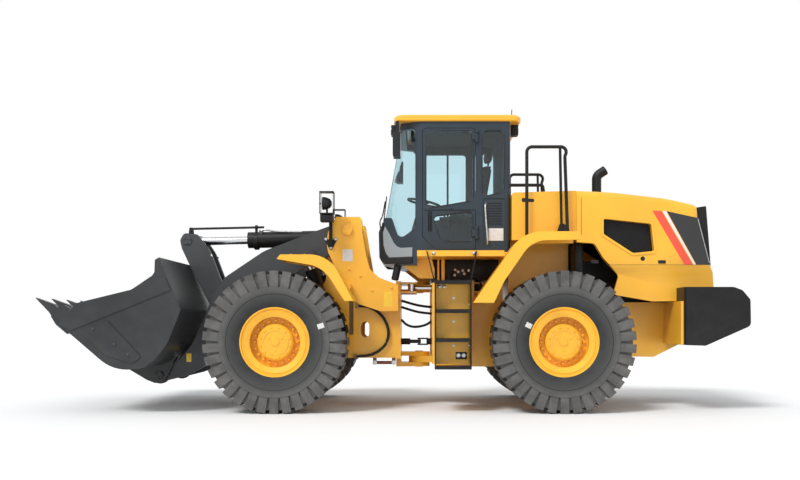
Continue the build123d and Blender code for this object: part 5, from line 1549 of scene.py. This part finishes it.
def seat_pad(name, outline, half):
    """One pad of the seat: drawn, remeshed, swollen and rounded off."""
    made = piece(name, pad_shape(outline, half), FINISH["seat_cloth"], "rear_frame")
    even_net(made)
    swell(made)
    for polygon in made.data.polygons:
        polygon.use_smooth = True
    rounded = made.modifiers.new("round", "SUBSURF")
    rounded.levels = 1
    rounded.render_levels = 1
    return made


pads = [seat_pad(f"seat_pad_{number}", *pad) for number, pad in enumerate(PADS, start=1)]
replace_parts(pads[0], "seat")
shape = bmesh.new()
for y in STEM_Y:
    rod(shape, *[at(x, y, z) for x, z in STEM], 8)
block(shape, *SEAT_PLATE)
slab(shape, BACK_PLATE, -BACK_HALF, 2 * BACK_HALF)
keep("seat_frame", shape, "plastic", "rear_frame")
print("pads", len(pads), "points", [len(pad.data.vertices) for pad in pads])

# %% [markdown]
# ## Under the deck
# Between the deck and the box stand the black oil tank, a valve with plated unions, and the drain
# pipe of the cab. A black bulkhead behind the rear wheel closes the engine bay, so that no light
# shines through it.

# %% Oil tank, bulkhead, valve, webs and pipes
TANK = ((-945, -140), (-560, 560), (1515, 1755))
BULKHEAD = ((-1905, -1815), (-780, 780), (1500, 1955))
VALVE_Y = (560, 600)
VALVE_UNIONS = [
    # x, z, length
    (-430, 1622, 40),
    (-470, 1590, 70),
    (-520, 1610, 50),
    (-540, 1570, 60),
    (-424, 1560, 46),
    (-590, 1612, 50),
]
WEBS = ((-300, -262), (-236, -215))
VALVE_PIPES = [
    [(-430, 600, 1620), (-380, 650, 1600), (-350, 660, 1540), (-345, 640, 1460), (-350, 600, 1400)],
    [(-540, 600, 1570), (-620, 650, 1560), (-700, 640, 1520), (-740, 560, 1420)],
]
DRAIN = ((250, 560, 1700), (292, 560, 1508))


def valve_block(shape, sign):
    """The cast block of the valve."""
    block(shape, (-570, -400), on_side(sign, *VALVE_Y), (1545, 1640))


def valve_union(shape, sign):
    """The plated unions that stand out of the valve."""
    for x, z, length in VALVE_UNIONS:
        stem = [(0, 13), (length * 0.5, 13)]
        nut = [(length * 0.5, 18), (length, 18), (length + 2, 12), (length + 2, 0)]
        lathe(shape, at(x, sign * (VALVE_Y[1] - 2), z), (0.2, sign, 0.3), stem + nut, 6)


def deck_web(shape, sign):
    """Two webs that carry the edge of the deck."""
    for x in WEBS:
        block(shape, x, on_side(sign, 561, 620), (1458, 1753))


shape = bmesh.new()
block(shape, *TANK)
block(shape, *BULKHEAD)
keep("oil_tank", shape, "black_paint", "rear_frame", 14.0)
paired("valve_block", valve_block, "plastic", "rear_frame", 3.0)
paired("valve_unions", valve_union, "zinc", "rear_frame")
paired("deck_webs", deck_web, "body_paint", "rear_frame", 2.0)
shape = bmesh.new()
for pipe in VALVE_PIPES:
    swept(shape, pipe, 14)
rod(shape, *[at(*end) for end in DRAIN], 44, 20)
keep("drain_pipe", shape, "hose", "rear_frame")
print("added", len(ADDED))

# %% [markdown]
# ## Deck, boxes and ladders
# Two bright bolts hold each ladder to the deck, the treads have saw-tooth edges so that a muddy boot
# grips, and the boxes have a row of bolts and a pair of sockets.

# %% Bolts, teeth of the treads and sockets
BOX_FACE = 1150
DECK_KNOB = [(0, 22), (6, 22), (14, 17), (18, 8), (19, 0)]
BOX_BOLTS = ((-386, 1283), (-386, 1020), (-386, 751), (-566, 1208), (-566, 751))
TREAD_TOPS = (1471, 1148, 825, 522)
TREAD_EDGES = (1158, 1334)
TOOTH = 12
TOOTH_PITCH = 22
TEETH = 18
SOCKET = [(0, 25), (12, 25), (16, 21), (16, 17), (9, 15), (9, 0)]


def deck_bolt(shape, sign):
    """The round bolts of a ladder, the bolts of the box and its two plugs."""
    out = (0, sign, 0)
    for x in (-161, -614):
        lathe(shape, at(x, sign * BOX_FACE, 1786), out, DECK_KNOB, 24)
    for x, z in BOX_BOLTS:
        bolt(shape, at(x, sign * BOX_FACE, z), out, 20, 9)
    for x in (-223, -279):
        button(shape, at(x, sign * BOX_FACE, 1411), out, 20, 14, (4, 6))


def tread_tooth(shape, sign):
    """Both toothed edges of every tread of a ladder."""
    for top in TREAD_TOPS:
        for n in range(TEETH):
            x = -562 + n * TOOTH_PITCH
            for y in TREAD_EDGES:
                block(shape, (x, x + TOOTH), on_side(sign, y, y + TOOTH), (top - 2, top + 9))


def tank_slot_shade(shape, sign):
    """A black block on the side of the tank's cover: painted shade in place of the dark inside of its
    slot.
    """
    block(shape, (-1321, -1181), on_side(sign, 877, 898), (2396, 2442))


paired("deck_bolts", deck_bolt, "zinc", "rear_frame")
paired("tread_teeth", tread_tooth, "black_paint", "rear_frame", 1.0)
shape = bmesh.new()
block(shape, (-532, -408), (BOX_FACE, BOX_FACE + 6), (596, 676))
keep("socket_plate", shape, "plastic", "rear_frame", 2.0)
shape = bmesh.new()
for x in (-498, -438):
    lathe(shape, at(x, BOX_FACE + 6, 638), (0, 1, 0), SOCKET, 28)
keep("sockets", shape, "lens", "rear_frame")
# The black block on the tank's cover is painted shade for the inside of its slot.
paired("tank_slot_shade", tank_slot_shade, "rubber_seal", "rear_frame")
print("teeth", len(TREAD_TOPS) * len(TREAD_EDGES) * TEETH, "a side")

# %% [markdown]
# ## Deck tread plate
# The deck that the driver steps onto is rolled with small raised bars that lean by turns to either
# side. A bump texture would do from far off, but real bars show at the deck's edge.

# %% Raised bars on the deck
DECK_TOP = 1820
DECK_FROM = (-930, 836)
DECK_TO = (5, 1140)
BAR_PITCH = (44, 40)
BAR_HALF = (15, 4)
BAR_HEIGHT = 2.2
BAR_LEAN = 0.8
BAR_TOP_SHARE = 0.6


def tread_bar(shape, middle, turn):
    """One raised bar with sloping sides, turned by an angle."""
    long, wide = BAR_HALF
    along = Vector((math.cos(turn), math.sin(turn), 0)) * long * MM
    aside = Vector((-math.sin(turn), math.cos(turn), 0)) * wide * MM
    top = Vector((0, 0, BAR_HEIGHT * MM))
    corners = (along, aside, -along, -aside)
    low = [shape.verts.new(middle + v) for v in corners]
    high = [shape.verts.new(middle + v * BAR_TOP_SHARE + top) for v in corners]
    shape.faces.new(high)
    for n in range(4):
        shape.faces.new((low[n], low[(n + 1) % 4], high[(n + 1) % 4], high[n]))


def deck_bars(shape, sign):
    """Rows of bars over one side of the deck, every other row half a pitch on."""
    pitch, row_pitch = BAR_PITCH
    for row, y in enumerate(range(DECK_FROM[1], DECK_TO[1], row_pitch)):
        for x in range(DECK_FROM[0] + (row % 2) * (pitch // 2), DECK_TO[0], pitch):
            lean = BAR_LEAN if (row + int(x / pitch)) % 2 else -BAR_LEAN
            tread_bar(shape, at(x, sign * y, DECK_TOP), lean)


made = paired("deck_tread", deck_bars, "body_paint", "rear_frame")
print("bars", len(made.data.vertices) // 8)

# %% [markdown]
# ## Bucket and arms
# Round-headed bolts hold the bucket's side plates, grease reaches the pins of the rocker through
# small nipples, and the tilt cylinder ends in a bolted gland, with the union of its pipe on top.

# %% Side bolts, nipples, gland and union
BUCKET_SIDE = 1470
WEAR_BOLTS = ((3560, 930), (3330, 760), (3180, 650))
WEAR_HEAD = [(0, 20), (4, 20), (8, 14), (9, 0)]
NIPPLES = ((2548, 1828), (2420, 1340))
NIPPLE = [(0, 12), (10, 12), (12, 7), (22, 7), (24, 0)]
TILT_Z = 2024
GLAND = [(-26, 106), (-22, 110), (22, 110), (26, 106), (26, 60)]
TILT_UNION = [(0, 24), (22, 24), (24, 30), (44, 30), (46, 20), (46, 0)]
TILT_PIPE = [(1960, 64, 2150), (1900, 70, 2160), (1780, 70, 2140), (1600, 60, 2134), (1460, 40, 2134)]


def wear_bolt(shape, sign):
    """The round heads on a side of the bucket."""
    for x, z in WEAR_BOLTS:
        lathe(shape, at(x, sign * BUCKET_SIDE, z), (0, sign, 0), WEAR_HEAD, 24)


def nipple(shape, sign):
    """The grease nipples on a side of the rocker."""
    for x, z in NIPPLES:
        lathe(shape, at(x, sign * 175, z), (0, sign, 0), NIPPLE, 12)


paired("wear_bolts", wear_bolt, "bucket_paint", "bucket")
paired("nipples", nipple, "zinc", "rocker")
shape = bmesh.new()
lathe(shape, at(2024, 0, TILT_Z), (1, 0, 0), GLAND, 48)
for y, z, angle in bolt_circle(0, TILT_Z, 84, 8):
    bolt(shape, at(2048, y, z), (1, 0, 0), 22, 11)
keep("tilt_gland", shape, "black_paint", "tilt_barrel")
shape = bmesh.new()
lathe(shape, at(1960, 50, 2112), (0, 0.4, 1), TILT_UNION, 6)
swept(shape, TILT_PIPE, 12)
keep("tilt_union", shape, "zinc", "tilt_barrel")
print("added", len(ADDED))

# %% [markdown]
# ## Tags on the tyres
# New tyres carry a small white tag on the sidewall. The tags are left blank. The sidewall bulges, so
# each corner of a tag takes its own distance out from a short table of the wall.

# %% Blank tyre tags
TAGS = [("front", 1085, 969), ("rear", -1205, 975)]
TAG_HALF = (36, 28)
TAG_DEPTH = (-4, 5)
SIDEWALL = [
    # radius from the axle, distance out from the middle of the wheel
    (388, 248),
    (500, 284),
    (612, 298),
]


def wall_out(near_radius, radius):
    """How far out the sidewall lies at a radius, by the stretch of wall that a tag is on."""
    (r0, y0), (r1, y1) = SIDEWALL[:2] if near_radius < SIDEWALL[1][0] else SIDEWALL[1:]
    return WHEEL_Y + y0 + (y1 - y0) * (radius - r0) / (r1 - r0)


def tyre_tag(shape, end, x, z):
    """A small square tag that lies on the bulging sidewall."""
    middle = Vector((AXLE_X[end], AXLE_HEIGHT))
    away = Vector((x, z)) - middle
    reach = away.length
    away.normalize()
    across = Vector((-away.y, away.x))
    tall, wide = TAG_HALF
    rings = []
    for depth in TAG_DEPTH:
        ring = []
        for r, s in ((-tall, -wide), (tall, -wide), (tall, wide), (-tall, wide)):
            spot = middle + away * (reach + r) + across * s
            ring.append(shape.verts.new(at(spot.x, wall_out(reach, reach + r) + depth, spot.y)))
        rings.append(ring)
    close_rings(shape, rings)


for end, x, z in TAGS:
    shape = bmesh.new()
    tyre_tag(shape, end, x, z)
    keep(f"tyre_tag_{end}", shape, "paper", f"wheel_{end}_left")
print("pieces added", len(ADDED) + len(pads))
